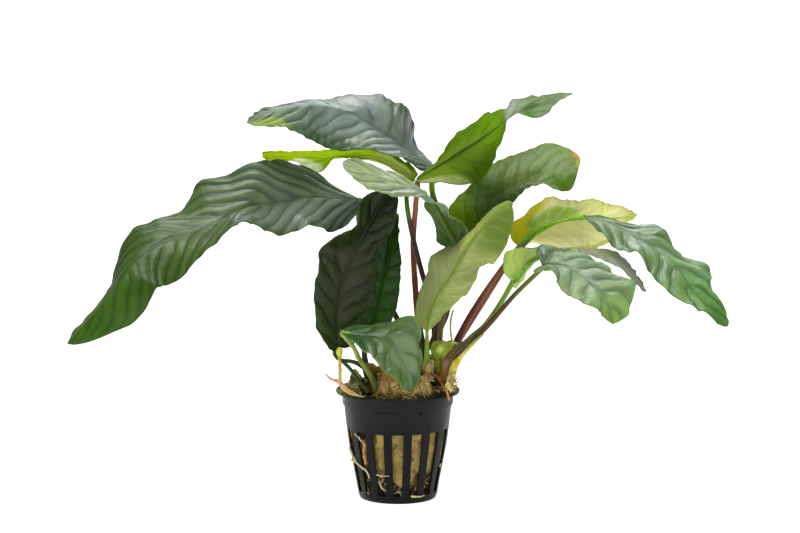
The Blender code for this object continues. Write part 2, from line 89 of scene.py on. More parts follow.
class Shader:
    def __init__(self, name):
        self.material = bpy.data.materials.new(name)
        self.material.use_nodes = True
        self.tree = self.material.node_tree
        self.tree.nodes.clear()
        self.places = self.node("ShaderNodeTexCoord", {}, {})

    def node(self, kind, settings, sockets):
        made = self.tree.nodes.new(kind)
        for key, value in settings.items():
            if key == "stops":
                self.fillRamp(made.color_ramp, value)
            else:
                setattr(made, key, value)
        for key, value in sockets.items():
            if isinstance(value, Value):
                self.tree.links.new(value.socket, made.inputs[key])
            else:
                made.inputs[key].default_value = value
        return made

    def fillRamp(self, ramp, stops):
        ramp.interpolation = "EASE"
        for number, (place, colour) in enumerate(stops):
            stop = ramp.elements[number] if number < 2 else ramp.elements.new(place)
            stop.position = place
            stop.color = colour

    def maths(self, operation, *values):
        made = self.node("ShaderNodeMath", {"operation": operation}, dict(enumerate(values)))
        return Value(self, made.outputs[0])

    def smooth(self, value, low, high, start=0.0, end=1.0):
        made = self.node("ShaderNodeMapRange", {"interpolation_type": "SMOOTHSTEP"},
                         {"Value": value, "From Min": low, "From Max": high, "To Min": start, "To Max": end})
        return Value(self, made.outputs["Result"])

    def mix(self, factor, first, second, blend="MIX"):
        made = self.node("ShaderNodeMix", {"data_type": "RGBA", "blend_type": blend},
                         {0: factor, 6: first, 7: second})
        return Value(self, made.outputs[2])

    def blend(self, value, low, high, first, second):   # from one photo tone to another as the value rises
        return self.mix(self.smooth(value, low, high), tone(*first), tone(*second))

    def ramp(self, value, stops):
        made = self.node("ShaderNodeValToRGB", {"stops": stops}, {"Fac": value})
        return Value(self, made.outputs["Color"])

    def scaled(self, colour, factor):
        made = self.node("ShaderNodeVectorMath", {"operation": "SCALE"}, {0: colour, "Scale": factor})
        return Value(self, made.outputs[0])

    def where(self, output="Object", stretch=None):     # object coordinates in metres, or the UV map
        place = Value(self, self.places.outputs[output])
        if stretch:
            made = self.node("ShaderNodeMapping", {}, {"Vector": place, "Scale": stretch})
            place = Value(self, made.outputs[0])
        return place

    def vector(self, x, y, z):
        made = self.node("ShaderNodeCombineXYZ", {}, {0: x, 1: y, 2: z})
        return Value(self, made.outputs[0])

    def split(self, vector):
        made = self.node("ShaderNodeSeparateXYZ", {}, {0: vector})
        return [Value(self, output) for output in made.outputs]

    def noise(self, place, scale, detail=3.0, rough=0.5):
        made = self.node("ShaderNodeTexNoise", {}, {"Vector": place, "Scale": scale, "Detail": detail,
                                                    "Roughness": rough})
        return Value(self, made.outputs[0])

    def cells(self, place, scale):                      # distance to the nearest edge between cells
        made = self.node("ShaderNodeTexVoronoi", {"feature": "DISTANCE_TO_EDGE"},
                         {"Vector": place, "Scale": scale})
        return Value(self, made.outputs["Distance"])

    def distance(self, place, centre):
        made = self.node("ShaderNodeVectorMath", {"operation": "DISTANCE"}, {0: place, 1: centre})
        return Value(self, made.outputs["Value"])

    def bump(self, height, distance):
        made = self.node("ShaderNodeBump", {}, {"Height": height, "Distance": distance})
        return Value(self, made.outputs["Normal"])

    def finish(self, colour, rough, normal, fixed=None, through=None, share=0.0):
        sockets = {"Base Color": colour, "Roughness": rough, "Normal": normal}
        sockets.update(fixed or {})
        shown = self.node("ShaderNodeBsdfPrincipled", {}, sockets)
        shown = Value(self, shown.outputs[0])
        if through:                                     # light that comes through a thin blade
            glow = self.node("ShaderNodeBsdfTranslucent", {}, {"Color": through})
            both = self.node("ShaderNodeMixShader", {}, {0: share, 1: shown, 2: Value(self, glow.outputs[0])})
            shown = Value(self, both.outputs[0])
        self.node("ShaderNodeOutputMaterial", {}, {"Surface": shown})
        return self.material


# Shapes: smooth routes, shaped grids, tubes

def unit(vectors):
    return vectors / np.maximum(np.linalg.norm(vectors, axis=-1, keepdims=True), 1e-9)


def smoothValues(values, places):      # rows given at even steps from 0 to 1, read from a smooth curve
    given = np.array(values, float)
    if given.ndim == 1:
        given = given[:, None]
    padded = np.vstack([2 * given[0] - given[1], given, 2 * given[-1] - given[-2]])
    position = np.clip(places, 0, 1) * (len(given) - 1)
    start = np.minimum(position.astype(int), len(given) - 2)
    u = (position - start)[:, None]
    before, here, there, after = (padded[start + step] for step in range(4))
    return 0.5 * (2 * here + (there - before) * u
                  + (2 * before - 5 * here + 4 * there - after) * u ** 2
                  + (3 * here - before - 3 * there + after) * u ** 3)


def smoothRoute(points, places):       # a curve through the points, read at shares of its length
    fine = smoothValues(points, np.linspace(0, 1, 24 * (len(points) - 1) + 1))
    travelled = np.concatenate([[0], np.cumsum(np.linalg.norm(np.diff(fine, axis=0), axis=1))])
    shares = travelled / travelled[-1]
    return np.stack([np.interp(places, shares, fine[:, axis]) for axis in range(3)], 1)


def pickOnly(*pieces):                 # selects these and nothing else, with the first one active
    bpy.ops.object.select_all(action="DESELECT")
    for piece in pieces:
        piece.select_set(True)
    bpy.context.view_layer.objects.active = pieces[0]


def pointOutwards(merge=False):        # normals of the active piece, after its doubles are merged
    bpy.ops.object.mode_set(mode="EDIT")
    bpy.ops.mesh.select_all(action="SELECT")
    if merge:
        bpy.ops.mesh.remove_doubles(threshold=0.000001)
    bpy.ops.mesh.normals_make_consistent(inside=False)
    bpy.ops.object.mode_set(mode="OBJECT")


def shapedGrid(name, places, materials, closed=False):   # places in mm, rows by columns
    rows, columns = places.shape[0] - 1, places.shape[1] - 1
    bpy.ops.object.select_all(action="DESELECT")
    bpy.ops.mesh.primitive_grid_add(x_subdivisions=rows, y_subdivisions=columns, size=2)
    piece = bpy.context.object
    piece.name = piece.data.name = name
    flat = np.empty(len(piece.data.vertices) * 3)
    piece.data.vertices.foreach_get("co", flat)
    flat = flat.reshape(-1, 3)
    row = np.rint((flat[:, 0] + 1) / 2 * rows).astype(int)
    column = np.rint((flat[:, 1] + 1) / 2 * columns).astype(int)
    piece.data.vertices.foreach_set("co", (places[row, column] * mm).ravel())
    for material in materials:
        piece.data.materials.append(material)
    if closed:
        pointOutwards(merge=True)
    bpy.ops.object.shade_smooth()
    return piece


def setUv(piece, table):               # one (u, w) for each grid place, in the order of the grid's own UV map
    layer = piece.data.uv_layers.active.data
    flat = np.empty(len(layer) * 2)
    layer.foreach_get("uv", flat)
    flat = flat.reshape(-1, 2)
    rows, columns = table.shape[0] - 1, table.shape[1] - 1
    row = np.rint(flat[:, 0] * rows).astype(int)
    column = np.rint(flat[:, 1] * columns).astype(int)
    layer.foreach_set("uv", table[row, column].ravel())


def applyModifier(piece, kind, **settings):
    pickOnly(piece)
    modifier = piece.modifiers.new(kind.lower(), kind)
    for key, value in settings.items():
        setattr(modifier, key, value)
    bpy.ops.object.modifier_apply(modifier=modifier.name)


def joined(pieces):
    pickOnly(*pieces)
    bpy.ops.object.join()
    return pieces[0]


def ringFrames(route):                 # two directions across the route at each point
    along = unit(np.gradient(route, axis=0))
    side = unit(front - (along @ front)[:, None] * along + 1e-6)
    return side, np.cross(side, along)


def tubePlaces(route, radii, sides, flatten=0.0):   # rings round a route, drawn in to a point at both ends
    route = np.array(route, float)
    side, across = ringFrames(route)
    angles = np.linspace(0, 2 * math.pi, sides + 1)
    wide = np.cos(angles)[None, :, None] * side[:, None] * (1 - flatten)
    high = np.sin(angles)[None, :, None] * across[:, None]
    rings = route[:, None] + (wide + high) * np.array(radii)[:, None, None]
    rings[:, -1] = rings[:, 0]
    first = np.repeat(route[:1, None], sides + 1, axis=1)
    last = np.repeat(route[-1:, None], sides + 1, axis=1)
    return np.concatenate([first, rings, last])


def tube(name, route, radii, sides, material, flatten=0.0):
    return shapedGrid(name, tubePlaces(route, radii, sides, flatten), [material], closed=True)


def bundle(name, routes, radii, sides, material):       # many thin tubes in one mesh
    points, faces = [], []
    for route, widths in zip(routes, radii):
        side, across = ringFrames(route)
        start = len(points)
        steps = len(route)
        for step in range(steps):
            for number in range(sides):
                angle = 2 * math.pi * number / sides
                offset = (side[step] * math.cos(angle) + across[step] * math.sin(angle)) * widths[step]
                points.append((route[step] + offset) * mm)
        for step in range(steps - 1):
            for number in range(sides):
                here = start + step * sides
                after = (number + 1) % sides
                faces.append((here + number, here + sides + number, here + sides + after, here + after))
        faces.append([start + number for number in range(sides)])
        faces.append([start + (steps - 1) * sides + number for number in reversed(range(sides))])
    mesh = bpy.data.meshes.new(name)
    mesh.from_pydata([tuple(point) for point in points], [], faces)
    mesh.materials.append(material)
    piece = bpy.data.objects.new(name, mesh)
    bpy.context.scene.collection.objects.link(piece)
    pickOnly(piece)
    pointOutwards()
    bpy.ops.object.shade_smooth()
    return piece


def attach(piece, slot, *nodes):
    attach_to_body(piece, "root")
    if nodes:
        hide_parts(*nodes)


# Leaves, in mm. A rib repeats the solid's, and a stalk keeps within a few mm of it. Pairs such as veins are
# for the right half and the left. Face 1 shows the front the leaf's upper side, -1 its underside. Right and
# left lean each half forwards, in degrees, at even steps from foot to tip, and edgeRight and edgeLeft move
# its margin outwards at places from 0 to 1. Quilt is how high the blade puffs up between its side veins,
# fade how far the puffs die away towards the tip, and depth how dark the painted shade in the valleys
# between them is. A patch is (along, across from the left margin, the two reaches, colour, strength). Some
# patches are painted shade, sheen, highlight and light coming through, each marked where it stands, and
# dense lists the patches that let hardly any light through. Sheen is where the waxy coat starts and ends to
# change, and its strength before and after. Half is half the blade's width, reached at widest, fullness
# rounds the outline, and lobe draws the blade's foot back past the stalk. A stalk's radius runs to end, and
# the midrib's starts at ribStart. Offset moves the midrib's line towards the right margin, and glow is how
# much light the blade lets through. Rib2 is the colour of the midrib's underside, and stem a second stem
# beside the stalk.

blades = {"rows": 200, "columns": 60, "thickness": 0.45, "curl": 25, "lobeLength": 0.3, "footWidth": 0.9,
          "tipWidth": 0.25, "look": 0.02, "crinkle": 0.13, "crinkleScale": 0.35, "groove": 0.45,
          "grooveWidth": 0.9, "fadeFrom": 0.35, "fadeTo": 0.9}
ribs = {"rings": 70, "sides": 10, "length": 0.97, "tip": 0.18}
stalks = {"rings": 60, "sides": 18, "stemSides": 14, "foot": 2.5, "taper": 0.82, "flatten": 0.08,
          "spread": 0.45, "collar": 0.12, "uneven": 0.03}
leafSkin = {"mottle": 70.0, "speckle": 420.0, "warm": 45.0, "warmShade": (1.12, 1.06, 0.6, 1.0), "net": 700.0,
            "relief": 0.00012, "coatRough": 0.32, "underRough": 0.6}
usualLeaf = {"stalkSlot": "stalk_green", "lobe": 0.1, "offset": 0.0, "edgeRight": [(0, 0)],
             "edgeLeft": [(0, 0)], "ruffle": 0.6, "fade": 0.0, "depth": 0.2, "edgeFrom": 0.9, "patches": [],
             "dense": (), "sheen": (0.0, 1.0, 0.8, 0.8), "shine": 0.8, "underShine": 0.22, "glow": 0.22}

leaves = {
    "long_left": dict(
        slot="leaf_sage", stalkSlot="stalk_brown", face=1, half=22, widest=0.42, fullness=1.1,
        rib=[(-17, 8, 135), (-27, 4, 136), (-41, 0, 137), (-54, -5, 135), (-67, -9, 133), (-80, -13, 127),
             (-93, -17, 123), (-105, -21, 119), (-117, -25, 111), (-127, -31, 97), (-144, -38.5, 77)],
        right=[-75, -52, -20, -40, -62, -54, -80, -88, -80],
        left=[0, 45, 45, 86, 68, 27, 30, 0, 0],
        edgeRight=[(0.05, -1.5), (0.2, 0.7), (0.3, -0.7), (0.35, -2.4), (0.4, 4.2), (0.45, 4.4),
                   (0.5, -1.7), (0.6, -3.2), (0.65, 0.3), (0.95, 1.2), (1, 0.5)],
        edgeLeft=[(0.05, 1), (0.1, 3), (0.15, 0.6), (0.2, -2.4), (0.25, -2), (0.3, 1.6), (0.35, 5),
                  (0.4, 1), (0.5, -1.6), (0.55, -2.2), (0.6, -0.4), (0.75, 0.9), (0.8, 2.6), (0.85, 3),
                  (0.9, 1.4), (1, 0.3)],
        stalk=[(8, 6, 61), (4, 9, 71), (-2, 12, 83), (-10, 14, 99), (-16, 15, 115), (-18, 13, 127)],
        radius=1.3,
        veins=(14, 20), sweep=(0.26, 0.13), quilt=(0.85, 1.1), fade=0.6,
        tones=[(0.0, (104, 124, 104)), (0.25, (90, 112, 82)), (0.5, (76, 104, 42)), (0.75, (56, 90, 12)),
               (1.0, (58, 106, 2))],
        under=[(0.0, (120, 140, 90)), (1.0, (100, 130, 60))],
        vein=((34, 54, 22), 0.45), edge=((50, 84, 16), 0.5),
        # the second patch is a painted grey reflection near the foot, and the third is painted shade in a
        # fold
        patches=[(0.38, 0.46, 0.05, 0.05, (160, 175, 80), 0.7),
                 (0.2, 0.25, 0.16, 0.2, (120, 130, 116), 0.6), (0.77, 0.95, 0.09, 0.3, (30, 62, 6), 0.85)],
        stalkTones=[(0.0, (70, 50, 30)), (0.6, (90, 60, 35)), (1.0, (90, 120, 30))],
        depth=0.42, sheen=(0.3, 0.75, 0.8, 0.15), shine=0.45),
    "upper_left": dict(
        slot="leaf_sage", stalkSlot="stalk_brown", face=1, half=22, widest=0.42, fullness=1.15,
        rib=[(16, 28, 147), (9, 27, 152), (1, 25, 158), (-6, 22, 163), (-14, 19, 169), (-23, 15, 174),
             (-39, 8, 178), (-55, 1, 176), (-67, -6, 171)],
        right=[-85, -80, -32, -55, -82, -92, -90, -82, -70],
        left=[78, 78, 76, 57, 30, 26, 36, 47, 45],
        edgeRight=[(0.1, 0.8), (0.15, 5), (0.2, 1.6), (0.25, -1.9), (0.3, -4), (0.35, -1), (0.4, -3.8),
                   (0.45, -1.5), (0.6, -1), (1, -0.5)],
        edgeLeft=[(0.1, 0), (0.15, -1.2), (0.3, -1.7), (0.35, -2.9), (0.4, -3.4), (0.45, -2.8),
                  (0.55, -1.4), (0.65, -0.4), (0.75, 1.1), (0.85, 0), (0.9, 0.8), (1, 0.3)],
        stalk=[(16, 4, 69), (19, 4, 77), (22, 6, 84), (24, 8, 98), (22, 16, 120), (16, 23, 135)],
        radius=1.6,
        veins=(10, 12), sweep=(0.08, 0.26), quilt=(0.85, 0.95),
        tones=[(0.0, (114, 130, 120)), (0.5, (118, 138, 128)), (0.85, (88, 116, 80)), (1.0, (70, 104, 30))],
        under=[(0.0, (110, 150, 50)), (1.0, (125, 165, 60))],
        vein=((44, 60, 44), 0.4), edge=((44, 80, 20), 0.5),
        patches=[(0.93, 0.08, 0.1, 0.22, (150, 178, 50), 0.9), (0.93, 0.62, 0.07, 0.2, (44, 70, 10), 0.7),
                 (0.55, 0.04, 0.2, 0.12, (44, 84, 10), 0.7), (0.28, 0.97, 0.16, 0.14, (52, 76, 50), 0.75)],
        stalkTones=[(0.0, (84, 70, 20)), (0.15, (58, 38, 26)), (0.75, (70, 50, 24)), (0.9, (110, 150, 20)),
                    (1.0, (120, 160, 20))],
        depth=0.26, sheen=(0.5, 1.0, 0.8, 0.4)),
    "lime": dict(
        slot="leaf_bright", stalkSlot="stalk_brown", face=1, half=14, widest=0.45, fullness=1.1,
        rib=[(7, 30, 142), (1, 33, 146), (-7, 36, 150), (-20, 40, 152), (-31, 43, 151), (-45, 46, 151),
             (-56, 48, 151), (-63, 50, 151)],
        right=[-80, -80, -82, -84, -82, -80, -80, -80, -80],
        left=[75, 78, 80, 76, 80, 58, 78, 76, 76],
        edgeRight=[(0.1, 2), (0.2, 1.2), (0.3, 0.6), (0.4, 0), (0.5, -1), (0.85, -1.1), (0.95, 0.5), (1, 1)],
        edgeLeft=[(0.1, -1), (0.2, -2), (0.3, -2.7), (0.4, -3.1), (0.45, -2.8), (0.5, -3), (0.55, -1.5),
                  (0.6, 0), (0.8, -0.6), (0.9, 0.5), (1, 1)],
        stalk=[(17, 8, 64), (16, 10, 87), (12, 7, 98), (8, 6, 113), (5, 12, 126), (4, 20, 135),
               (6, 27, 140)],
        radius=1.3,
        veins=(9, 9), sweep=(0.2, 0.2), quilt=(0.4, 0.4),
        tones=[(0.0, (176, 200, 30)), (0.4, (140, 176, 10)), (1.0, (146, 176, 0))],
        under=[(0.0, (170, 200, 60)), (1.0, (160, 200, 40))],
        vein=((190, 205, 90), 0.2), edge=((150, 190, 30), 0.3),
        # the last patch is a painted shadow along the margin near the foot
        patches=[(0.68, 0.06, 0.09, 0.2, (224, 230, 186), 0.85),
                 (0.12, 0.42, 0.2, 0.4, (214, 216, 128), 0.85), (0.5, 0.6, 0.5, 0.1, (166, 194, 20), 0.5),
                 (0.22, 0.97, 0.22, 0.22, (50, 84, 0), 0.95)],
        stalkTones=[(0.0, (50, 30, 20)), (0.5, (48, 30, 20)), (0.66, (60, 52, 14)), (0.76, (72, 112, 8)),
                    (1.0, (140, 172, 20))],
        sheen=(0.0, 1.0, 0.0, 0.0), shine=0.0),
    "arching": dict(
        slot="leaf_sage", face=-1, half=11, widest=0.5, fullness=1.0,
        rib=[(28, 4, 111), (26, 2, 117), (21, -4, 127), (17, -11, 136), (11, -17, 141), (2, -20, 145),
             (-8, -22, 148), (-17, -24, 152), (-24, -26, 155)],
        right=[30, 25, 30, 75, 105, 125, 130, 125, 120],
        left=[-50, -40, -40, -80, -105, -125, -130, -125, -120],
        edgeRight=[(0.15, 0), (0.2, -1), (0.25, -2.5), (0.3, -1.5), (0.4, 0.5), (0.45, 2.5), (0.5, 3.1),
                   (0.55, 5.2), (0.6, 3.4), (0.7, 1.2), (0.8, 0), (0.9, -0.5), (1, -0.7)],
        edgeLeft=[(0.05, 2), (0.1, 3.3), (0.15, 0), (0.2, -2.9), (0.25, -2.8), (0.3, 0), (0.4, 1),
                  (0.5, 2.8), (0.6, 4.4), (0.7, 3.2), (0.8, 1.8), (0.9, 0), (1, 0)],
        stalk=[(18.5, 0, 66), (19.5, 1, 78), (22, 2, 87), (26, 4, 98)],
        radius=1.3,
        veins=(9, 9), sweep=(0.2, 0.2), quilt=(1.1, 1.1), ruffle=0.3,
        tones=[(0.0, (110, 130, 95)), (0.5, (140, 160, 130)), (1.0, (150, 172, 130))],
        under=[(0.0, (74, 110, 6)), (0.3, (78, 108, 18)), (0.45, (110, 138, 112)), (1.0, (134, 162, 148))],
        vein=((120, 140, 110), 0.3), edge=((130, 160, 50), 0.6),
        stalkTones=[(0.0, (110, 96, 50)), (0.5, (96, 88, 40)), (1.0, (90, 120, 30))],
        underShine=0.8),
    "upper_right": dict(
        slot="leaf_bright", stalkSlot="stalk_brown", face=-1, half=14.5, widest=0.35, fullness=1.2,
        rib=[(9, 10, 143), (19, 9, 149.5), (28, 8, 156), (37, 7, 161.5), (45, 6, 167), (49, 6, 170.5),
             (56, 5, 175), (66, 4, 179), (78, 3, 183)],
        right=[75, 50, 0, 12, 56, 86, 118, 115, 120],
        left=[-90, -88, -74, -62, -60, -83, -122, -115, -110],
        edgeRight=[(0.05, -1.5), (0.15, -2.2), (0.2, -0.8), (0.25, 1), (0.3, 1.3), (0.35, 0), (0.4, -1.4),
                   (0.55, -2.2), (0.6, -2.2), (0.65, -4), (0.7, -4.6), (0.75, -1), (0.85, -1), (0.9, -0.5),
                   (1, 0)],
        edgeLeft=[(0.1, 0.8), (0.3, 1.3), (0.4, -0.2), (0.45, -0.2), (0.5, 1.4), (0.6, 1.9), (0.65, 0),
                  (0.7, 0), (0.77, -1.5), (0.85, -2), (0.9, -0.3), (1, 0)],
        stalk=[(12, 5, 63), (9, 8, 82), (7, 12, 112), (8, 12, 130)],
        radius=1.5, ribStart=0.45,
        veins=(9, 9), sweep=(0.16, 0.2), quilt=(0.6, 0.6),
        tones=[(0.0, (110, 140, 80)), (0.55, (184, 196, 180)), (0.8, (166, 186, 160)),
               (1.0, (150, 176, 130))],
        under=[(0.0, (120, 144, 22)), (0.3, (108, 142, 4)), (0.6, (116, 162, 4)), (1.0, (130, 170, 40))],
        vein=((60, 95, 25), 0.35), edge=((60, 90, 20), 0.4), rib2=(50, 80, 0),
        # the last patch is painted shade in the crease along the midrib
        patches=[(0.12, 0.92, 0.12, 0.16, (190, 205, 130), 0.85),
                 (0.35, 0.92, 0.12, 0.3, (70, 92, 16), 0.7), (0.3, 0.55, 0.25, 0.25, (136, 166, 50), 0.5),
                 (0.69, 0.04, 0.08, 0.26, (124, 184, 20), 1.0),
                 (0.7, 0.95, 0.06, 0.25, (218, 224, 212), 0.7), (1.0, 0.5, 0.05, 1.0, (205, 208, 184), 0.8),
                 (0.76, 0.5, 0.06, 0.14, (60, 112, 70), 0.7)],
        stalkTones=[(0.0, (46, 52, 10)), (0.17, (58, 48, 14)), (0.3, (108, 44, 28)), (0.6, (130, 66, 40)),
                    (0.88, (160, 96, 54)), (1.0, (90, 110, 20))],
        underShine=0.1, glow=0.5),
    "broad_right": dict(
        slot="leaf_sage", face=1, half=17, widest=0.55, fullness=0.7, offset=0.8,
        rib=[(26, 14, 108), (29, 18, 119), (37, 22, 129), (47, 26, 135), (59, 30, 141), (68, 31, 145),
             (75, 31, 147), (80, 30.5, 147), (83, 30, 146.5)],
        right=[58, 44, 50, 64, 80, 85, 62, 40, 40],
        left=[-43, -48, -46, -52, -33, -37, -40, -56, -55],
        edgeRight=[(0.05, -1), (0.1, 0), (0.6, 0), (0.65, -0.6), (0.7, -2.8), (0.75, -5), (0.8, -2.6),
                   (0.85, -1.0), (0.9, 0.2), (0.94, 1.8), (0.97, 3.4), (1, 4.2)],
        edgeLeft=[(0.05, -3), (0.1, 0), (0.2, -0.8), (0.3, -0.4), (0.45, -1.8), (0.5, -2.3), (0.55, -0.9),
                  (0.6, -0.5), (0.7, -0.8), (0.75, -1), (0.8, 0.8), (0.85, 3), (0.9, 2.4), (0.95, 0.8),
                  (1, 0)],
        stalk=[(17.5, 5, 64), (19, 10, 78), (23, 15, 91)],
        radius=1.3,
        veins=(8, 10), sweep=(0.1, 0.3), quilt=(0.3, 0.32),
        tones=[(0.0, (112, 146, 0)), (0.25, (88, 120, 0)), (0.42, (62, 92, 0)), (0.58, (106, 132, 62)),
               (1.0, (136, 164, 88))],
        under=[(0.0, (110, 145, 50)), (1.0, (120, 155, 60))],
        vein=((44, 72, 10), 0.14), edge=((110, 150, 30), 0.5),
        # the fourth patch is a painted highlight on the margin, and the last is painted light coming through
        # near the foot
        patches=[(0.97, 0.03, 0.03, 0.12, (232, 150, 60), 0.95),
                 (0.995, 0.25, 0.02, 0.2, (196, 200, 20), 0.85), (0.86, 0.9, 0.14, 0.3, (96, 140, 0), 0.95),
                 (0.76, 0.98, 0.07, 0.1, (190, 190, 150), 0.7), (0.14, 0.22, 0.2, 0.4, (124, 162, 0), 0.8)],
        stalkTones=[(0.0, (70, 50, 40)), (1.0, (100, 120, 40))],
        depth=0.05, sheen=(0.3, 0.7, 0.0, 0.35), shine=0.3, glow=0.4),
    "centre": dict(
        slot="leaf_bright", face=-1, half=14, widest=0.48, fullness=0.8,
        rib=[(13, -14, 79), (15, -15, 87), (19, -16, 96), (25, -17, 105), (30, -18, 115), (37, -20, 125),
             (45, -22, 133), (49, -24, 137)],
        right=[-62, -50, -42, -33, -42, 0, 0, 0, 0],
        left=[-38, -48, -48, -33, -45, -82, -85, -76, -75],
        edgeRight=[(0.3, 0), (0.4, -0.8), (0.65, 0.6), (0.75, 1.2), (0.8, 1.2), (0.9, 0), (1, -1)],
        edgeLeft=[(0.2, 0), (0.3, -1.1), (0.4, 0.5), (0.5, -1.6), (0.55, -4), (0.6, -0.8), (0.65, 0),
                  (0.9, -1), (1, -2)],
        stalk=[(13.3, -10.5, 62.5), (13.1, -12, 70)],
        radius=1.55, end=0.7,
        veins=(11, 10), sweep=(0.1, 0.25), quilt=(0.7, 0.25), ruffle=0.3,
        tones=[(0.0, (80, 110, 50)), (1.0, (90, 120, 60))],
        under=[(0.0, (152, 168, 84)), (0.5, (164, 176, 104)), (1.0, (140, 162, 76))],
        vein=((196, 202, 150), 0.12), edge=((120, 150, 50), 0.4), rib2=(122, 144, 52),
        patches=[(0.85, 0.8, 0.25, 0.3, (98, 126, 30), 0.8), (0.3, 0.2, 0.3, 0.25, (158, 168, 112), 0.6)],
        stalkTones=[(0.0, (120, 140, 50)), (0.35, (104, 138, 14)), (1.0, (120, 156, 30))]),
    "dark_front": dict(
        slot="leaf_dark", face=1, half=16, widest=0.4, fullness=0.8, lobe=0.2,
        rib=[(-27, -10, 70), (-27, -10, 82), (-26, -9, 93), (-24, -8, 102), (-19, -6, 114), (-10, -5, 130),
             (-1, -4, 141)],
        right=[-35, -32, -22, -20, -20, -15, 0, 10, 10],
        left=[62, 48, 47, 44, 15, 52, 58, 32, 55],
        edgeRight=[(0.4, 0), (0.5, -1.1), (0.55, -2.4), (0.6, -4.7), (0.65, -6.5), (0.7, -4), (0.75, -1.8),
                   (0.85, -0.8), (0.95, -1.7), (1, -1)],
        edgeLeft=[(0.03, -2), (0.1, -1.4), (0.15, -0.4), (0.35, 0.9), (0.4, -0.5), (0.45, -1.6),
                  (0.5, -0.5), (0.55, -0.9), (0.6, 0.4), (0.65, 0), (0.7, -2.1), (0.75, -1), (0.85, 0.5),
                  (1, -1)],
        stalk=[(-14.6, -15.5, 52.5), (-17.3, -15, 55.9), (-20.9, -14, 60.7), (-24.5, -12.5, 64.2),
               (-26.8, -11.5, 66.3)],
        stem=[(-28.6, -11, 69.2), (-28.2, -11, 66.9), (-25.9, -11.5, 64.8), (-21.4, -11.5, 64.2),
              (-18.3, -11, 63.2), (-15.6, -9.5, 61.2), (-12.9, -8, 59.4), (-10, -7, 58)],
        radius=0.95,
        veins=(8, 9), sweep=(0.16, 0.16), quilt=(1.0, 1.0), ruffle=0.45,
        tones=[(0.0, (44, 70, 12)), (0.4, (40, 54, 20)), (1.0, (26, 46, 6))],
        under=[(0.0, (70, 100, 50)), (1.0, (70, 100, 40))],
        vein=((14, 24, 6), 0.5), edge=((50, 82, 14), 0.5), edgeFrom=0.8,
        # the patch is a painted grey-brown sheen in the middle of the blade
        patches=[(0.35, 0.52, 0.3, 0.26, (60, 62, 34), 0.8)],
        stalkTones=[(0.0, (60, 72, 18)), (0.6, (48, 66, 18)), (1.0, (60, 92, 24))],
        sheen=(0.0, 1.0, 0.3, 0.2), shine=0.4),
    "dark_back": dict(
        slot="leaf_dark", face=1, half=11, widest=0.5, fullness=0.9,
        rib=[(-15, 4, 69), (-11, 5, 80), (-8, 6, 94), (-5, 7, 106), (-3, 7, 117), (0, 8, 128)],
        right=[40, 30, 20, 25, 40, 50, 45, 45, 45],
        left=[40, 20, 0, -8, -8, 0, 10, 20, 20],
        edgeRight=[(0.3, -0.8), (0.5, -0.7), (0.6, -0.1), (0.7, -1.1), (0.75, -2.3), (0.8, -3.1), (1, -3)],
        stalk=[(-13.5, -2, 57), (-15, 0, 64)],
        radius=1.5,
        veins=(9, 8), sweep=(0.05, 0.16), quilt=(0.7, 0.5), ruffle=0.25,
        tones=[(0.0, (50, 100, 8)), (0.4, (36, 80, 6)), (1.0, (20, 48, 2))],
        under=[(0.0, (70, 100, 50)), (1.0, (70, 100, 40))],
        vein=((14, 30, 4), 0.25), edge=((34, 70, 8), 0.3),
        stalkTones=[(0.0, (30, 28, 8)), (1.0, (40, 60, 18))],
        sheen=(0.0, 1.0, 0.2, 0.2), shine=0.4),
    "low_front": dict(
        slot="leaf_sage", face=1, half=13, widest=0.5, fullness=1.1,
        rib=[(-25, -20, 79), (-17, -22, 78), (-9, -25, 78), (-3, -27, 75), (1, -29, 69), (4, -30, 63),
             (5, -29, 54)],
        right=[75, 70, 60, 52, 45, 42, 46, 56, 60],
        left=[-78, -78, -75, -60, 0, -30, -42, -56, -55],
        edgeRight=[(0.05, -1.7), (0.2, -2.3), (0.25, -1.5), (0.35, -0.9), (0.5, -0.3), (0.8, -0.2),
                   (0.9, -0.9), (1, -0.8)],
        edgeLeft=[(0.15, 0.4), (0.45, -0.4), (0.5, 3.3), (0.55, 1.8), (0.6, 0), (0.65, -1), (0.75, -0.6),
                  (0.85, 1.0), (0.93, 1.8), (1, 0.5)],
        stalk=[(-10.4, -15.6, 53.5), (-11.1, -15.5, 55.9), (-12.4, -15, 58.6), (-15.3, -15, 63.1),
               (-17.4, -15.5, 66.2), (-18.6, -16.2, 69.2), (-20.3, -17.2, 72.4), (-22.6, -19, 75.5)],
        radius=1.2,
        veins=(5, 5), sweep=(0.22, 0.22), quilt=(1.5, 1.5), ruffle=0.15,
        tones=[(0.0, (66, 102, 48)), (0.5, (90, 118, 70)), (1.0, (74, 116, 34))],
        under=[(0.0, (120, 150, 80)), (1.0, (120, 150, 80))],
        vein=((56, 84, 40), 0.35), edge=((120, 160, 70), 0.5),
        # the last patch is a broad painted highlight between the veins
        patches=[(0.03, 0.5, 0.05, 0.2, (160, 190, 80), 0.8), (0.2, 0.6, 0.15, 0.4, (44, 88, 38), 0.6),
                 (0.68, 0.4, 0.2, 0.3, (134, 156, 116), 0.6)],
        stalkTones=[(0.0, (84, 90, 16)), (0.5, (138, 148, 54)), (1.0, (166, 180, 84))],
        depth=0.28, sheen=(0.0, 0.5, 0.15, 0.4), shine=0.6),
    "yellow": dict(
        slot="leaf_yellow", stalkSlot="stalk_brown", face=-1, half=16.5, widest=0.5, fullness=0.9, lobe=0.5,
        rib=[(56, 22, 112), (63, 24, 118), (74, 27, 123), (86, 29, 124), (99, 31, 124), (110, 33, 125)],
        right=[-78, -70, -30, -10, -5, 0, -10, -50, -70],
        left=[0, 8, 36, 38, 52, 53, 56, 62, 72],
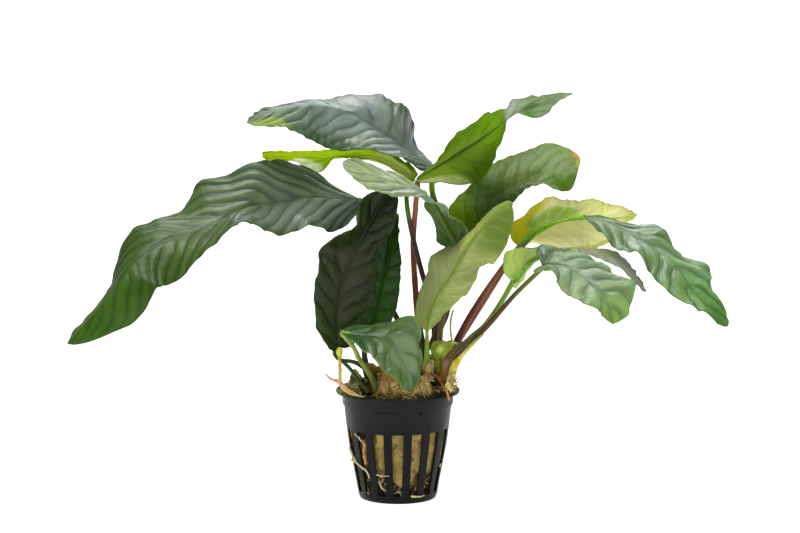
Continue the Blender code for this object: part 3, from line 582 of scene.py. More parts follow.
        edgeRight=[(0.1, -0.4), (0.2, -2.6), (0.25, -1.5), (0.35, -0.4), (0.5, 0.1), (0.6, -0.9),
                   (0.65, -0.2), (0.7, -1.5), (0.8, -0.6), (0.9, 1.2), (1, 0.3)],
        edgeLeft=[(0.05, -1.2), (0.1, -0.2), (0.14, -1.8), (0.17, -2.6), (0.2, -0.8), (0.25, 0.4),
                  (0.3, 1.3), (0.35, 0), (0.4, -2.3), (0.45, -1.3), (0.5, -0.5), (0.6, 0.6), (0.68, -0.4),
                  (0.75, -0.9), (0.82, 0), (0.9, -0.8), (1, -1)],
        stalk=[(25.5, 4, 68), (34.3, 11, 80), (45, 17, 96), (52, 21, 107)],
        radius=1.3,
        veins=(9, 9), sweep=(0.4, 0.16), quilt=(0.5, 0.4),
        tones=[(0.0, (190, 185, 90)), (1.0, (200, 200, 120))],
        under=[(0.0, (252, 244, 150)), (0.3, (255, 254, 205)), (0.8, (255, 254, 205)),
               (1.0, (190, 208, 40))],
        vein=((250, 250, 235), 0.6), edge=((190, 185, 60), 0.5), rib2=(130, 186, 30),
        patches=[(0.05, 0.2, 0.14, 0.4, (218, 210, 0), 1.0), (0.2, 0.04, 0.14, 0.12, (216, 206, 0), 0.95),
                 (0.34, 0.31, 0.19, 0.16, (132, 196, 62), 1.0), (0.98, 0.5, 0.08, 0.6, (150, 175, 10), 0.8),
                 (0.7, 0.98, 0.25, 0.08, (160, 180, 10), 0.8), (0.12, 0.7, 0.1, 0.14, (216, 192, 60), 0.7)],
        stalkTones=[(0.0, (96, 54, 30)), (0.5, (132, 76, 52)), (0.9, (116, 78, 54)), (1.0, (90, 136, 30))],
        glow=0.48, dense=(0, 1)),
    "far_right": dict(
        slot="leaf_sage", stalkSlot="stalk_brown", face=1, half=13, widest=0.5, fullness=1.0,
        rib=[(85, 12, 127), (96, 9, 124), (106, 5, 119), (113, 1, 115), (121, -4, 111), (127, -9, 104),
             (132, -14, 96), (140, -19, 88), (146, -22, 82)],
        right=[62, 54, 44, 70, 28, 30, 55, 72, 68],
        left=[-80, -85, -68, -34, -80, -44, -30, -52, -58],
        edgeRight=[(0.05, -1), (0.2, 0.2), (0.3, 0.7), (0.35, 1.7), (0.4, -1.4), (0.45, -1.8), (0.5, -0.8),
                   (0.65, 0.4), (0.7, 1.3), (0.8, 0.8), (0.9, 0), (1, 0.4)],
        edgeLeft=[(0.2, -0.3), (0.25, 1), (0.3, 0.8), (0.4, -1.5), (0.45, -3), (0.5, 1.4), (0.6, 1.3),
                  (0.65, 2.3), (0.7, 0.7), (0.75, -1.4), (0.8, -1.9), (0.85, -0.7), (1, 0.3)],
        stalk=[(26.5, 1, 70), (32, 3, 81), (39.6, 6, 93), (49, 9, 106), (55, 12, 113), (62, 14, 120),
               (73, 14, 124)],
        radius=1.4, end=0.5,
        veins=(8, 7), sweep=(0.16, 0.24), quilt=(1.45, 1.45), ruffle=0.35,
        tones=[(0.0, (116, 144, 112)), (0.5, (112, 148, 102)), (0.8, (98, 146, 70)), (1.0, (74, 128, 34))],
        under=[(0.0, (130, 160, 100)), (1.0, (120, 160, 80))],
        vein=((60, 96, 48), 0.35), edge=((74, 116, 40), 0.4),
        stalkTones=[(0.0, (84, 36, 18)), (0.2, (104, 48, 24)), (0.45, (124, 72, 46)), (0.58, (112, 80, 50)),
                    (0.66, (122, 170, 30)), (1.0, (150, 200, 40))],
        depth=0.3, sheen=(0.4, 0.85, 0.75, 0.25)),
    "right_arch": dict(
        slot="leaf_sage", face=-1, half=12, widest=0.4, fullness=0.8, lobe=0.3,
        rib=[(52, -1, 99), (56, 3, 104), (61, 7, 108), (69, 10, 111), (80, 10, 113), (91, 6, 112),
             (100, 2, 108), (106, -2, 102), (111, -5, 95)],
        right=[-60, -60, -70, -80, -85, -100, -105, -105, -105],
        left=[20, 20, 40, 65, 85, 100, 105, 105, 105],
        edgeRight=[(0.35, 0), (0.4, 0.5), (0.5, 2.2), (0.6, 1.6), (0.7, 1.4), (0.8, 1), (1, 0)],
        edgeLeft=[(0.05, 1), (0.1, 2.5), (0.15, -1), (0.2, -4), (0.25, -6), (0.3, -5), (0.35, -4),
                  (0.4, -3), (0.5, 0), (1, 0)],
        stalk=[(20.7, -12, 58), (21.5, -12.7, 63.4), (23.6, -12.7, 67), (27.9, -11.5, 70.7),
               (31, -10.5, 73), (34.2, -9.5, 75.8), (39.5, -7.5, 80.2), (46, -4, 89)],
        radius=1.4,
        veins=(8, 8), sweep=(0.18, 0.18), quilt=(0.5, 0.5),
        tones=[(0.0, (140, 158, 120)), (0.6, (156, 162, 150)), (1.0, (136, 142, 130))],
        under=[(0.0, (190, 220, 116)), (0.4, (186, 216, 124)), (1.0, (170, 200, 140))],
        vein=((150, 160, 150), 0.3), edge=((110, 130, 90), 0.4), rib2=(115, 160, 50),
        patches=[(0.75, 0.5, 0.3, 0.16, (176, 182, 170), 0.6)],
        # the pinkish grey at 0.15 is a painted highlight
        stalkTones=[(0.0, (110, 78, 12)), (0.1, (130, 92, 24)), (0.15, (130, 104, 84)), (0.2, (84, 62, 22)),
                    (0.34, (62, 54, 12)), (0.46, (92, 88, 26)), (0.65, (124, 136, 56)),
                    (1.0, (126, 162, 44))]),
    "right_front": dict(
        slot="leaf_sage", stalkSlot="stalk_brown", face=1, half=15, widest=0.45, fullness=0.9, lobe=0.8,
        rib=[(65, -12, 107), (71, -14, 108), (77, -16, 107), (82, -19, 104), (86, -22, 101), (90, -25, 97),
             (93, -27, 91), (95, -29, 84)],
        right=[80, 75, 62, 50, 44, 45, 52, 60, 66],
        left=[-45, -50, -50, -50, -45, -34, -20, -15, -10],
        edgeRight=[(0.05, -1), (0.1, -4), (0.15, -5), (0.2, -3), (0.25, -1.5), (0.4, -0.5), (0.5, -0.8),
                   (0.7, 0), (0.8, -0.8), (1, 0)],
        edgeLeft=[(0.03, 3), (0.07, 3), (0.15, -1), (0.2, -3), (0.3, -1.5), (0.5, -1.4), (0.6, -2),
                  (0.65, -0.5), (0.7, 3), (0.75, 3.3), (0.8, 1.8), (0.9, 0.2), (0.95, 1.6), (1, 0)],
        stalk=[(24, -7, 63), (30.5, -9.5, 71), (40, -11, 80), (52, -11, 94)],
        radius=1.25,
        veins=(5, 6), sweep=(0.2, 0.2), quilt=(1.4, 1.4), ruffle=0.2,
        tones=[(0.0, (92, 124, 84)), (0.25, (124, 152, 112)), (0.5, (138, 164, 122)), (1.0, (126, 164, 70))],
        under=[(0.0, (120, 150, 80)), (1.0, (120, 150, 80))],
        vein=((84, 116, 70), 0.35), edge=((96, 136, 60), 0.4),
        stalkTones=[(0.0, (160, 116, 56)), (0.1, (112, 76, 44)), (0.22, (66, 48, 22)), (0.6, (76, 58, 18)),
                    (0.85, (90, 98, 24)), (1.0, (110, 150, 30))],
        depth=0.22, sheen=(0.0, 1.0, 0.65, 0.5)),
}


def stops(tones):
    return [(place, tone(*colour)) for place, colour in tones]


def sine(value):
    return value.shader.maths("SINE", value) if isinstance(value, Value) else np.sin(value)


def fromRib(leaf, along, s):             # how far out from the midrib a place lies, and 1 on its right
    middle = (1 - along ** 4) * leaf["offset"]
    out = s - middle
    if isinstance(s, Value):
        away = s.shader.maths("ABSOLUTE", out)
        right = s.shader.maths("GREATER_THAN", out, 0.0)
    else:
        away = np.abs(out)
        right = (out > 0).astype(float)
    return away / (1 - middle * (right * 2 - 1)), right


def veinPlace(leaf, along, away, right):  # counts the side veins; takes numbers or shader values
    (manyRight, manyLeft), (slantRight, slantLeft) = leaf["veins"], leaf["sweep"]
    many = right * (manyRight - manyLeft) + manyLeft
    slant = right * (slantRight - slantLeft) + slantLeft
    uneven = sine(along * 19 + right * 2) * 0.012 + sine(along * 43 + away * 2.5) * 0.006
    return (along - away ** 1.3 * slant + uneven) * many + right * 0.4


def addPatches(shader, leaf, colour, along, across, ragged):     # clear falls where a patch is dense
    clear = 1
    for number, patch in enumerate(leaf["patches"]):
        atAlong, atAcross, reachAlong, reachAcross, patchTone, strength = patch
        far = ((along - atAlong) / reachAlong) ** 2 + ((across - atAcross) / reachAcross) ** 2
        mask = shader.smooth(far + (ragged - 0.5) * 1.5, 1.6, 0.3) * strength
        colour = shader.mix(mask, colour, tone(*patchTone))
        if number in leaf["dense"]:
            clear = (1 - mask * 0.85) * clear
    return colour, clear


def leafMaterial(name, leaf, tones, upper):
    shader = Shader(name)
    along, across, _ = shader.split(shader.where("UV"))
    margin = shader.maths("ABSOLUTE", across - 0.5) * 2
    away, right = fromRib(leaf, along, across * 2 - 1)
    count = veinPlace(leaf, along, away, right)
    fromVein = 1 - shader.maths("ABSOLUTE", shader.maths("FRACT", count) - 0.5) * 2
    nearVein = shader.smooth(fromVein, 0.2, 0.0)
    nearVein = nearVein * shader.smooth(away, 0.03, 0.2) * shader.smooth(away, 1.0, 0.6)
    midrib = shader.smooth(away * shader.smooth(along, 1.0, 0.0, 0.35, 1.0), 0.05, 0.02)
    place = shader.where()
    large = shader.noise(place, leafSkin["mottle"], 2.0)
    small = shader.noise(place, leafSkin["speckle"], 3.0)
    streaks = shader.noise(shader.vector(count * 5.0, away * 3.0 + right * 7.0, 0.5), 1.0, 3.0)
    colour = shader.ramp(along, stops(tones))
    colour = shader.scaled(colour, shader.smooth(large, 0.3, 0.7, 0.84, 1.14))
    colour = shader.scaled(colour, shader.smooth(small, 0.25, 0.75, 0.94, 1.06))
    colour = shader.scaled(colour, shader.smooth(streaks, 0.3, 0.7, 0.88, 1.12))
    if upper:                           # painted shade in the valleys between the puffs, and a slight painted highlight on their tops
        faded = shader.smooth(along, blades["fadeFrom"], blades["fadeTo"]) * leaf["fade"]
        depth = leaf["depth"] * (1 - faded)
        colour = shader.scaled(colour, shader.smooth(fromVein, 0.0, 0.9, 1 - depth, 1.06))
    warm = shader.smooth(shader.noise(place, leafSkin["warm"], 2.0), 0.4, 0.62) * 0.5
    colour = shader.mix(warm, colour, leafSkin["warmShade"], "MULTIPLY")
    colour, clear = addPatches(shader, leaf, colour, along, across, large)
    veinTone, veinShare = leaf["vein"]
    colour = shader.mix(nearVein * (veinShare * clear), colour, tone(*veinTone))
    ribTone = veinTone if upper else leaf.get("rib2", veinTone)
    colour = shader.mix(midrib * (0.25 if upper else 0.7), colour, tone(*ribTone))
    edgeTone, edgeShare = leaf["edge"]
    rim = shader.smooth(margin + (small - 0.5) * 0.1, leaf["edgeFrom"], 1.0)
    colour = shader.mix(rim * edgeShare, colour, tone(*edgeTone))
    net = shader.smooth(shader.cells(place, leafSkin["net"]), 0.0, 0.12)
    height = net * 0.25 + small * 0.3 + streaks * 0.9 - nearVein * (0.9 if upper else -0.7)
    normal = shader.bump(height, leafSkin["relief"])
    if upper:                           # a waxy coat that changes along the leaf, less at the margins
        rough = shader.smooth(small + large * 0.5, 0.5, 1.0, 0.34, 0.48)
        first, last, atFirst, atLast = leaf["sheen"]
        coat = shader.smooth(along, first, last, atFirst, atLast) * shader.smooth(margin, 0.75, 1.0, 1.0, 0.5)
        gloss = {"Specular IOR Level": 0.5 * leaf["shine"], "Coat Weight": coat,
                 "Coat Roughness": leafSkin["coatRough"]}
    else:
        rough = leafSkin["underRough"]
        gloss = {"Specular IOR Level": leaf["underShine"]}
    through = tone(*tones[len(tones) // 2][1])
    return shader.finish(colour, rough, normal, gloss, through, leaf["glow"] * clear)


def stalkMaterial(name, tones):
    shader = Shader(name)
    along, _, _ = shader.split(shader.where("UV"))
    streaks = shader.noise(shader.where(stretch=(900.0, 900.0, 60.0)), 1.0, 2.0)
    blotch = shader.noise(shader.where(), 160.0, 3.0)
    colour = shader.ramp(along + (blotch - 0.5) * 0.12, stops(tones))
    colour = shader.scaled(colour, shader.smooth(streaks, 0.3, 0.7, 0.8, 1.2))
    rough = shader.smooth(blotch, 0.3, 0.7, 0.34, 0.5)
    return shader.finish(colour, rough, shader.bump(streaks + blotch, 0.0001), {"Specular IOR Level": 0.35})


def halfWidths(leaf, shares):
    widest, fullness = leaf["widest"], leaf["fullness"]
    rise = (shares / widest) ** (fullness * widest)
    fall = ((1 - shares) / (1 - widest)) ** (fullness * (1 - widest))
    least = np.where(shares < 0.5, blades["footWidth"], blades["tipWidth"])
    return np.maximum(leaf["half"] * rise * fall, least)


def wobble(seed, values, count, low, high):             # a smooth, even-sized wander made of a few sines
    dice = np.random.default_rng(seed)
    total = np.zeros_like(values)
    for _ in range(count):
        total += np.sin(values * 2 * math.pi * dice.uniform(low, high) + dice.uniform(0, 2 * math.pi))
    return total / count


def step01(values, low, high):
    share = np.clip((values - low) / (high - low), 0, 1)
    return share * share * (3 - 2 * share)


def edgeShift(pairs, shares):           # how far a margin is moved outwards, softened along the leaf
    marks, shifts = zip(*pairs)
    fine = np.linspace(-0.1, 1.1, 481)
    window = np.hanning(15)
    soft = np.convolve(np.interp(fine, marks, shifts), window / window.sum(), mode="same")
    return np.interp(shares, fine, soft)


def bladePlaces(leaf, seed):
    rows, columns = blades["rows"], blades["columns"]
    steps = np.arange(rows + 1) / rows
    shares = 0.5 * steps + 0.25 * (1 - np.cos(np.pi * steps))       # rows lie closer at foot and tip
    centres = smoothRoute(leaf["rib"], shares)
    ahead = smoothRoute(leaf["rib"], np.clip(shares + blades["look"], 0, 1))
    behind = smoothRoute(leaf["rib"], np.clip(shares - blades["look"], 0, 1))
    along = unit(ahead - behind)
    forward = unit(front - (along @ front)[:, None] * along)
    aside = np.cross(along, forward)
    t = np.repeat(shares[:, None], columns + 1, axis=1)
    s = np.repeat(np.linspace(-1, 1, columns + 1)[None] * -leaf["face"], rows + 1, axis=0)
    away, side = np.abs(s), np.where(s > 0, 1.0, -1.0)
    width = halfWidths(leaf, shares)[:, None]
    curl = math.radians(blades["curl"])
    lean = np.where(s > 0, smoothValues(leaf["right"], shares), smoothValues(leaf["left"], shares))
    start = np.radians(lean) + curl / 2
    reach = width * (np.sin(start) - np.sin(start - curl * away)) / curl
    rise = width * (np.cos(start - curl * away) - np.cos(start)) / curl
    back = leaf["lobe"] * width * away ** 2 * np.maximum(0, 1 - t / blades["lobeLength"]) ** 1.5
    shift = np.where(s > 0, edgeShift(leaf["edgeRight"], t), edgeShift(leaf["edgeLeft"], t)) * away ** 2.2
    places = centres[:, None] + (side * (reach + shift))[..., None] * aside[:, None]
    places = places + rise[..., None] * forward[:, None] - back[..., None] * along[:, None]
    # the quilting between the side veins, the groove of the midrib and the ruffled margin
    ribAway, right = fromRib(leaf, t, s)
    vein = veinPlace(leaf, t, ribAway, right)
    number = np.floor(vein)
    between = 1 - np.abs(vein - number - 0.5) * 2
    ripe = step01(width * ribAway, 0.5, 5.0) * step01(t, 0.0, 0.06) * step01(t, 1.0, 0.92)
    uneven = 0.8 + 0.35 * np.sin(number * 2.3 + side * 1.7 + seed + away * 3)
    height = np.where(right > 0, *leaf["quilt"]) * uneven
    height = height * (1 - leaf["fade"] * step01(t, blades["fadeFrom"], blades["fadeTo"]))
    puff = (height * (1 - (1 - between) ** 2.4) - 0.5 * np.mean(leaf["quilt"])) * ripe
    ruffle = leaf["ruffle"] * away ** 2.2 * wobble(seed + 90, t + 0.4 * side, 6, 6, 24) * step01(t, 0.0, 0.15)
    groove = -blades["groove"] * np.exp(-((width * ribAway) / blades["grooveWidth"]) ** 2)
    groove = groove * step01(t, 1.0, 0.6)
    crinkle = [lump(place, blades["crinkleScale"], 3) for place in places.reshape(-1, 3)]
    crinkle = blades["crinkle"] * np.reshape(crinkle, t.shape) * step01(width * away, 0.0, 3.0)
    upper = unit(np.cross(np.gradient(places, axis=0), np.gradient(places, axis=1)))
    places = places + upper * (puff + ruffle + groove + crinkle)[..., None]
    return places, t, s, upper[:, columns // 2]


def makeLeaf(name, leaf, seed):
    upperMaterial = leafMaterial(name + "_upper", leaf, leaf["tones"], True)
    underMaterial = leafMaterial(name + "_under", leaf, leaf["under"], False)
    stalkEnd, ribTone = leaf["stalkTones"][-1][1], leaf.get("rib2", leaf["under"][0][1])
    ribMaterial = stalkMaterial(name + "_rib", [(0.0, stalkEnd), (0.15, ribTone), (1.0, ribTone)])
    places, t, s, upper = bladePlaces(leaf, seed)
    blade = shapedGrid("leaf_" + name, places, [upperMaterial, underMaterial])
    setUv(blade, np.stack([t, (s + 1) / 2], axis=-1))
    applyModifier(blade, "SOLIDIFY", thickness=blades["thickness"] * mm, offset=-1.0, material_offset=1,
                  material_offset_rim=0)
    # the midrib stands out on the underside and runs on from the stalk
    ribStart = leaf.get("ribStart", leaf.get("end", leaf["radius"] * stalks["taper"]))
    shares = np.linspace(0, ribs["length"], ribs["rings"])
    pick = np.rint(np.interp(shares, t[:, 0], np.arange(len(t)))).astype(int)
    radii = np.maximum(ribStart * (1 - shares) ** 0.8, ribs["tip"])
    route = places[pick, places.shape[1] // 2] - upper[pick] * (radii * 0.85 + 0.15)[:, None]
    rib = tube("rib_" + name, route, radii, ribs["sides"], ribMaterial)
    attach(joined([blade, rib]), leaf["slot"], "leaf_" + name)


def makeStalk(name, leaf, seed):
    material = stalkMaterial(name + "_stalk", leaf["stalkTones"])
    first, second = np.array(leaf["stalk"][0], float), np.array(leaf["stalk"][1], float)
    foot = first - unit(second - first) * stalks["foot"]
    share = np.linspace(0, 1, stalks["rings"])
    route = smoothRoute([tuple(foot)] + leaf["stalk"] + [leaf["rib"][0]], share)
    end = leaf.get("end", leaf["radius"] * stalks["taper"])
    # wider at its foot, and with a small collar where the blade begins
    spread = stalks["spread"] * (1 - share) ** 6
    collar = stalks["collar"] * np.exp(-((share - 0.97) / 0.04) ** 2)
    radii = (leaf["radius"] + (end - leaf["radius"]) * share) * (1 + spread + collar)
    radii *= 1 + stalks["uneven"] * wobble(seed, share, 4, 3, 12)
    piece = tube("stalk_" + name, route, radii, stalks["sides"], material, flatten=stalks["flatten"])
    if "stem" in leaf:
        widths = leaf["radius"] * (0.85 + 0.6 * share ** 2)
        stem = tube("stem", smoothRoute(leaf["stem"], share), widths, stalks["stemSides"], material)
        piece = joined([piece, stem])
    attach(piece, leaf["stalkSlot"], "stalk_" + name)


for number, (name, given) in enumerate(leaves.items()):
    leaf = usualLeaf | given
    makeLeaf(name, leaf, 10 * number)
    makeStalk(name, leaf, 10 * number + 5)
print("leaves done")


# Net pot. Places on its side are (radius, height) in mm, from its foot up to the band.

pot = {"side": [(17.2, 0.0), (17.9, 1.6), (19.4, 10.0), (20.8, 17.0), (22.3, 25.0), (23.1, 31.0),
                (24.3, 42.0)],
       "band": 25.1, "bandBottom": 43.4, "flange": 28.0, "flangeBottom": 48.4, "top": 49.4, "wall": 1.0,
       "floor": 1.4, "foot": [(16.0, 0.0), (15.4, 0.35), (0.0, 0.35)], "segments": 160, "slots": 16,
       "slotBottom": 3.5, "slotTop": 32.6, "slotLow": 3.7, "slotHigh": 5.3, "slotInner": 12.0,
       "slotOuter": 30.0, "floorSlots": 8, "floorInner": 6.5, "floorOuter": 14.0, "floorWidth": 2.6,
       "corner": 0.5, "edge": 0.14, "line": 43.1, "pit": (10.3, -22.2, 42.5), "shine": 0.16}


def turned(name, profile, segments, materials):
    angles = np.linspace(0, 2 * math.pi, segments + 1)
    profile = np.array(profile, float)
    places = np.stack([profile[:, :1] * np.cos(angles), profile[:, :1] * np.sin(angles),
                       np.repeat(profile[:, 1:], segments + 1, axis=1)], axis=-1)
    places[:, -1] = places[:, 0]
    return shapedGrid(name, places, materials, closed=True)


def potRadius(height):
    radii, heights = zip(*pot["side"])
    return np.interp(height, heights, radii)


def slotCutter(angle, inner, outer, low, high, widthLow, widthHigh):
    bpy.ops.object.select_all(action="DESELECT")
    bpy.ops.mesh.primitive_cube_add(size=1)
    cutter = bpy.context.object
    cutter.name = "cutter"
    for vert in cutter.data.vertices:
        width = widthHigh if vert.co.z > 0 else widthLow
        along = (inner if vert.co.x < 0 else outer) * mm
        across = vert.co.y * width * mm
        height = (high if vert.co.z > 0 else low) * mm
        vert.co = (along * math.cos(angle) - across * math.sin(angle),
                   along * math.sin(angle) + across * math.cos(angle), height)
    return cutter


def cutterEdges(cutter, angle):        # round the four edges that run outwards from the axis
    bpy.ops.object.mode_set(mode="EDIT")
    bpy.ops.mesh.select_mode(type="EDGE")
    bpy.ops.mesh.select_all(action="DESELECT")
    bpy.ops.object.mode_set(mode="OBJECT")
    outward = Vector((math.cos(angle), math.sin(angle), 0))
    for edge in cutter.data.edges:
        first, second = (cutter.data.vertices[index].co for index in edge.vertices)
        edge.select = abs((second - first).normalized().dot(outward)) > 0.99
    bpy.ops.object.mode_set(mode="EDIT")
    bpy.ops.mesh.bevel(offset=pot["corner"] * mm, segments=4)
    bpy.ops.object.mode_set(mode="OBJECT")


def potMaterial():
    shader = Shader("pot_plastic")
    place = shader.where()
    dust = shader.noise(place, 90.0, 4.0)
    grain = shader.noise(place, 1400.0, 2.0)
    scuff = shader.noise(shader.where(stretch=(300.0, 300.0, 1500.0)), 1.0, 3.0)
    colour = shader.mix(shader.smooth(dust, 0.45, 0.8) * 0.5, tone(4, 4, 5), tone(18, 17, 18))
    colour = shader.mix(shader.smooth(scuff, 0.62, 0.8) * 0.25, colour, tone(48, 46, 44))
    rough = shader.smooth(dust + scuff * 0.3, 0.4, 0.9, 0.34, 0.5)
    # a moulding line at the foot of the band, on the left half of the front, and one small pit, both with
    # painted shade
    across, depth, height = shader.split(place)
    behind = shader.smooth(depth, -0.0225, -0.0215, 0.0, 0.01)
    fromLine = shader.maths("ABSOLUTE", height - pot["line"] * mm) + behind
    line = shader.smooth(fromLine, 0.0004, 0.0001) * shader.smooth(across, 0.005, 0.0)
    grey = shader.smooth(height, 0.030, 0.046) * shader.smooth(across, 0.012, -0.012, 0.3, 0.7)
    colour = shader.mix(grey, colour, tone(30, 29, 28))
    pit = shader.smooth(shader.distance(place, metres(pot["pit"])), 0.0009, 0.0006)
    normal = shader.bump(grain * 0.06 + dust * 0.06 - line - pit, 0.0004)
    # the line and the pit are painted near black as shade in their dents
    colour = shader.mix(shader.maths("MAXIMUM", pit, line * 0.7), colour, tone(1, 1, 1))
    return shader.finish(colour, rough + pit * 0.5, normal, {"Specular IOR Level": pot["shine"]})


def makePot():
    wall, band, flange = pot["wall"], pot["band"], pot["flange"]
    top, under = pot["top"], pot["flangeBottom"]
    inside = [(0.0, pot["floor"]), (potRadius(pot["floor"]) - wall, pot["floor"])]
    inside += [(radius - wall, height) for radius, height in pot["side"][2:]]
    inside += [(band - wall, pot["bandBottom"] + wall), (band - wall, top)]
    rim = [(flange - 0.2, top), (flange, top - 0.25), (flange, under), (band + 1.2, under),
           (band + 0.1, under - 0.5), (band, pot["bandBottom"])]
    profile = inside + rim + pot["side"][::-1] + pot["foot"]
    piece = turned("pot", profile, pot["segments"], [potMaterial()])
    cutters = []
    for number in range(pot["slots"]):
        angle = -math.pi / 2 + number * 2 * math.pi / pot["slots"]
        cutter = slotCutter(angle, pot["slotInner"], pot["slotOuter"], pot["slotBottom"], pot["slotTop"],
                            pot["slotLow"], pot["slotHigh"])
        cutterEdges(cutter, angle)
        cutters.append(cutter)
    for number in range(pot["floorSlots"]):
        angle = (number + 0.5) * 2 * math.pi / pot["floorSlots"]
        cutters.append(slotCutter(angle, pot["floorInner"], pot["floorOuter"], -1.0, pot["floor"] + 1,
                                  pot["floorWidth"], pot["floorWidth"]))
    cutter = joined(cutters)
    applyModifier(piece, "BOOLEAN", object=cutter, operation="DIFFERENCE", solver="EXACT")
    bpy.data.objects.remove(cutter, do_unlink=True)
    applyModifier(piece, "BEVEL", width=pot["edge"] * mm, segments=2, limit_method="ANGLE",
                  angle_limit=math.radians(40))
    bpy.ops.object.shade_smooth_by_angle(angle=math.radians(35))
    attach(piece, "pot_plastic", "pot")


makePot()
print("pot done")


# Fibre plug with its lumps, loose fibres, moss and crumbs, in mm. A mound is (x, y, radius, rise), and a
# pool of painted shadow, near black, in the top is (place, reach). The plug is eaten away low down and
# behind the slots at the left.
# The fibres in front have a middle and a spread, across and in depth. The olive mound, where few fibres
# lie, and the dark gap, where none do, are (left, right, back).

plug = {"top": 48.2, "bottom": 2.0, "shoulder": 46.6, "clearance": 0.5, "rings": 90, "sides": 220,
        "mounds": [(-4.5, -12.5, 5.2, 11.5), (0.5, -15.5, 5.4, 6.5), (11.3, -13.8, 4.8, 9.5),
                   (-18.5, -8.0, 4.4, 9.0), (-6.5, -4.0, 4.5, 9.0), (-21.0, -3.0, 3.2, 5.0),
                   (-9.0, 8.0, 8.0, 7.0), (8.0, 12.0, 9.0, 5.0), (21.5, -10.0, 4.0, 4.5)],
        "lumps": 1.5, "grains": 0.9, "shore": 4.0, "rough": 0.35, "hollow": 3.6, "hollowTop": 13.5,
        "arch": 7.5, "archMiddle": 3.0, "archWidth": 6.0, "leftEdge": -9.5, "leftDepth": -2, "leftTop": 34,
        "paintedShadows": [((-9.0, -8.5, 56.0), 3.6), ((-13.8, -16.5, 51.0), 5.2)]}
strands = {"count": 300, "spread": 23, "reach": 22.5, "wall": 23.3, "front": [(-1, 5), (-13, 5)],
           "olive": (6, 17, -6), "gap": (-17, -9, -8), "turn": 0.6, "bend": 0.6, "lift": (0.15, 0.35, 0.8),
           "points": 7, "sides": 4, "length": (4, 10), "radius": (0.1, 0.26)}
# two tones of each stuff, and the scale of its pattern where that isn't the usual one
stuffs = {"fibre_tan": ((206, 168, 88), (250, 226, 160)), "fibre_brown": ((150, 110, 52), (206, 168, 100)),
          "crumb": ((22, 14, 5), (74, 54, 22)), "crumb_pale": ((60, 44, 16), (150, 124, 68)),
          "moss": ((92, 98, 28), (178, 178, 112), 260.0), "crumb_dark": ((12, 8, 3), (44, 34, 10)),
          "litter": ((70, 56, 24), (140, 124, 62))}
wallReach, flangeReach = 23.2, 27.6      # how far out crumbs lie within the wall, and on the flange
litter = {                               # small lumps round a middle, on the plug or on the pot's flange
    "crumbs": dict(
        stuff="crumb", count=300, seed=11, middle=(-18, -8), spread=(3.5, 8), sizes=(0.2, 0.55)),
    "crumbs_front": dict(
        stuff="crumb_pale", count=300, seed=12, middle=(12, -17), spread=(7, 3), sizes=(0.15, 0.4)),
    "moss": dict(
        stuff="moss", count=320, seed=13, middle=(-19.5, -7.5), spread=(2.8, 4.5), sizes=(0.3, 0.8)),
    "moss_heap": dict(
        stuff="moss", count=420, seed=17, middle=(-20.8, -6), spread=(1.5, 3), sizes=(0.4, 0.8), heap=5.0),
    # near-black crumbs in the gap, their darkness partly painted shade
    "crumbs_gap": dict(
        stuff="crumb_dark", count=170, seed=16, middle=(-13.5, -15.5), spread=(2.2, 3), sizes=(0.25, 0.6)),
    "moss_left_rim": dict(
        stuff="moss", count=150, seed=14, middle=(-25, -9), spread=(1.5, 4.5), sizes=(0.25, 0.7), onRim=True),
    "moss_right_rim": dict(
        stuff="litter", count=150, seed=15, middle=(25, -9), spread=(1.5, 4), sizes=(0.25, 0.7), onRim=True),
}


def plugTop(x, y):
    height = plug["top"]
    for moundX, moundY, radius, rise in plug["mounds"]:
        height += rise * math.exp(-(((x - moundX) ** 2 + (y - moundY) ** 2) / radius ** 2) ** 1.3)
    height += plug["lumps"] * lump((x, y, 3.0), 0.22, 4)
    height += plug["grains"] * abs(lump((x * 0.7, y, 8.0), 0.45, 3))
    edge = potRadius(plug["shoulder"]) - pot["wall"] - math.hypot(x, y)
    return plug["top"] + (height - plug["top"]) * min(1.0, max(edge, 0) / plug["shore"])


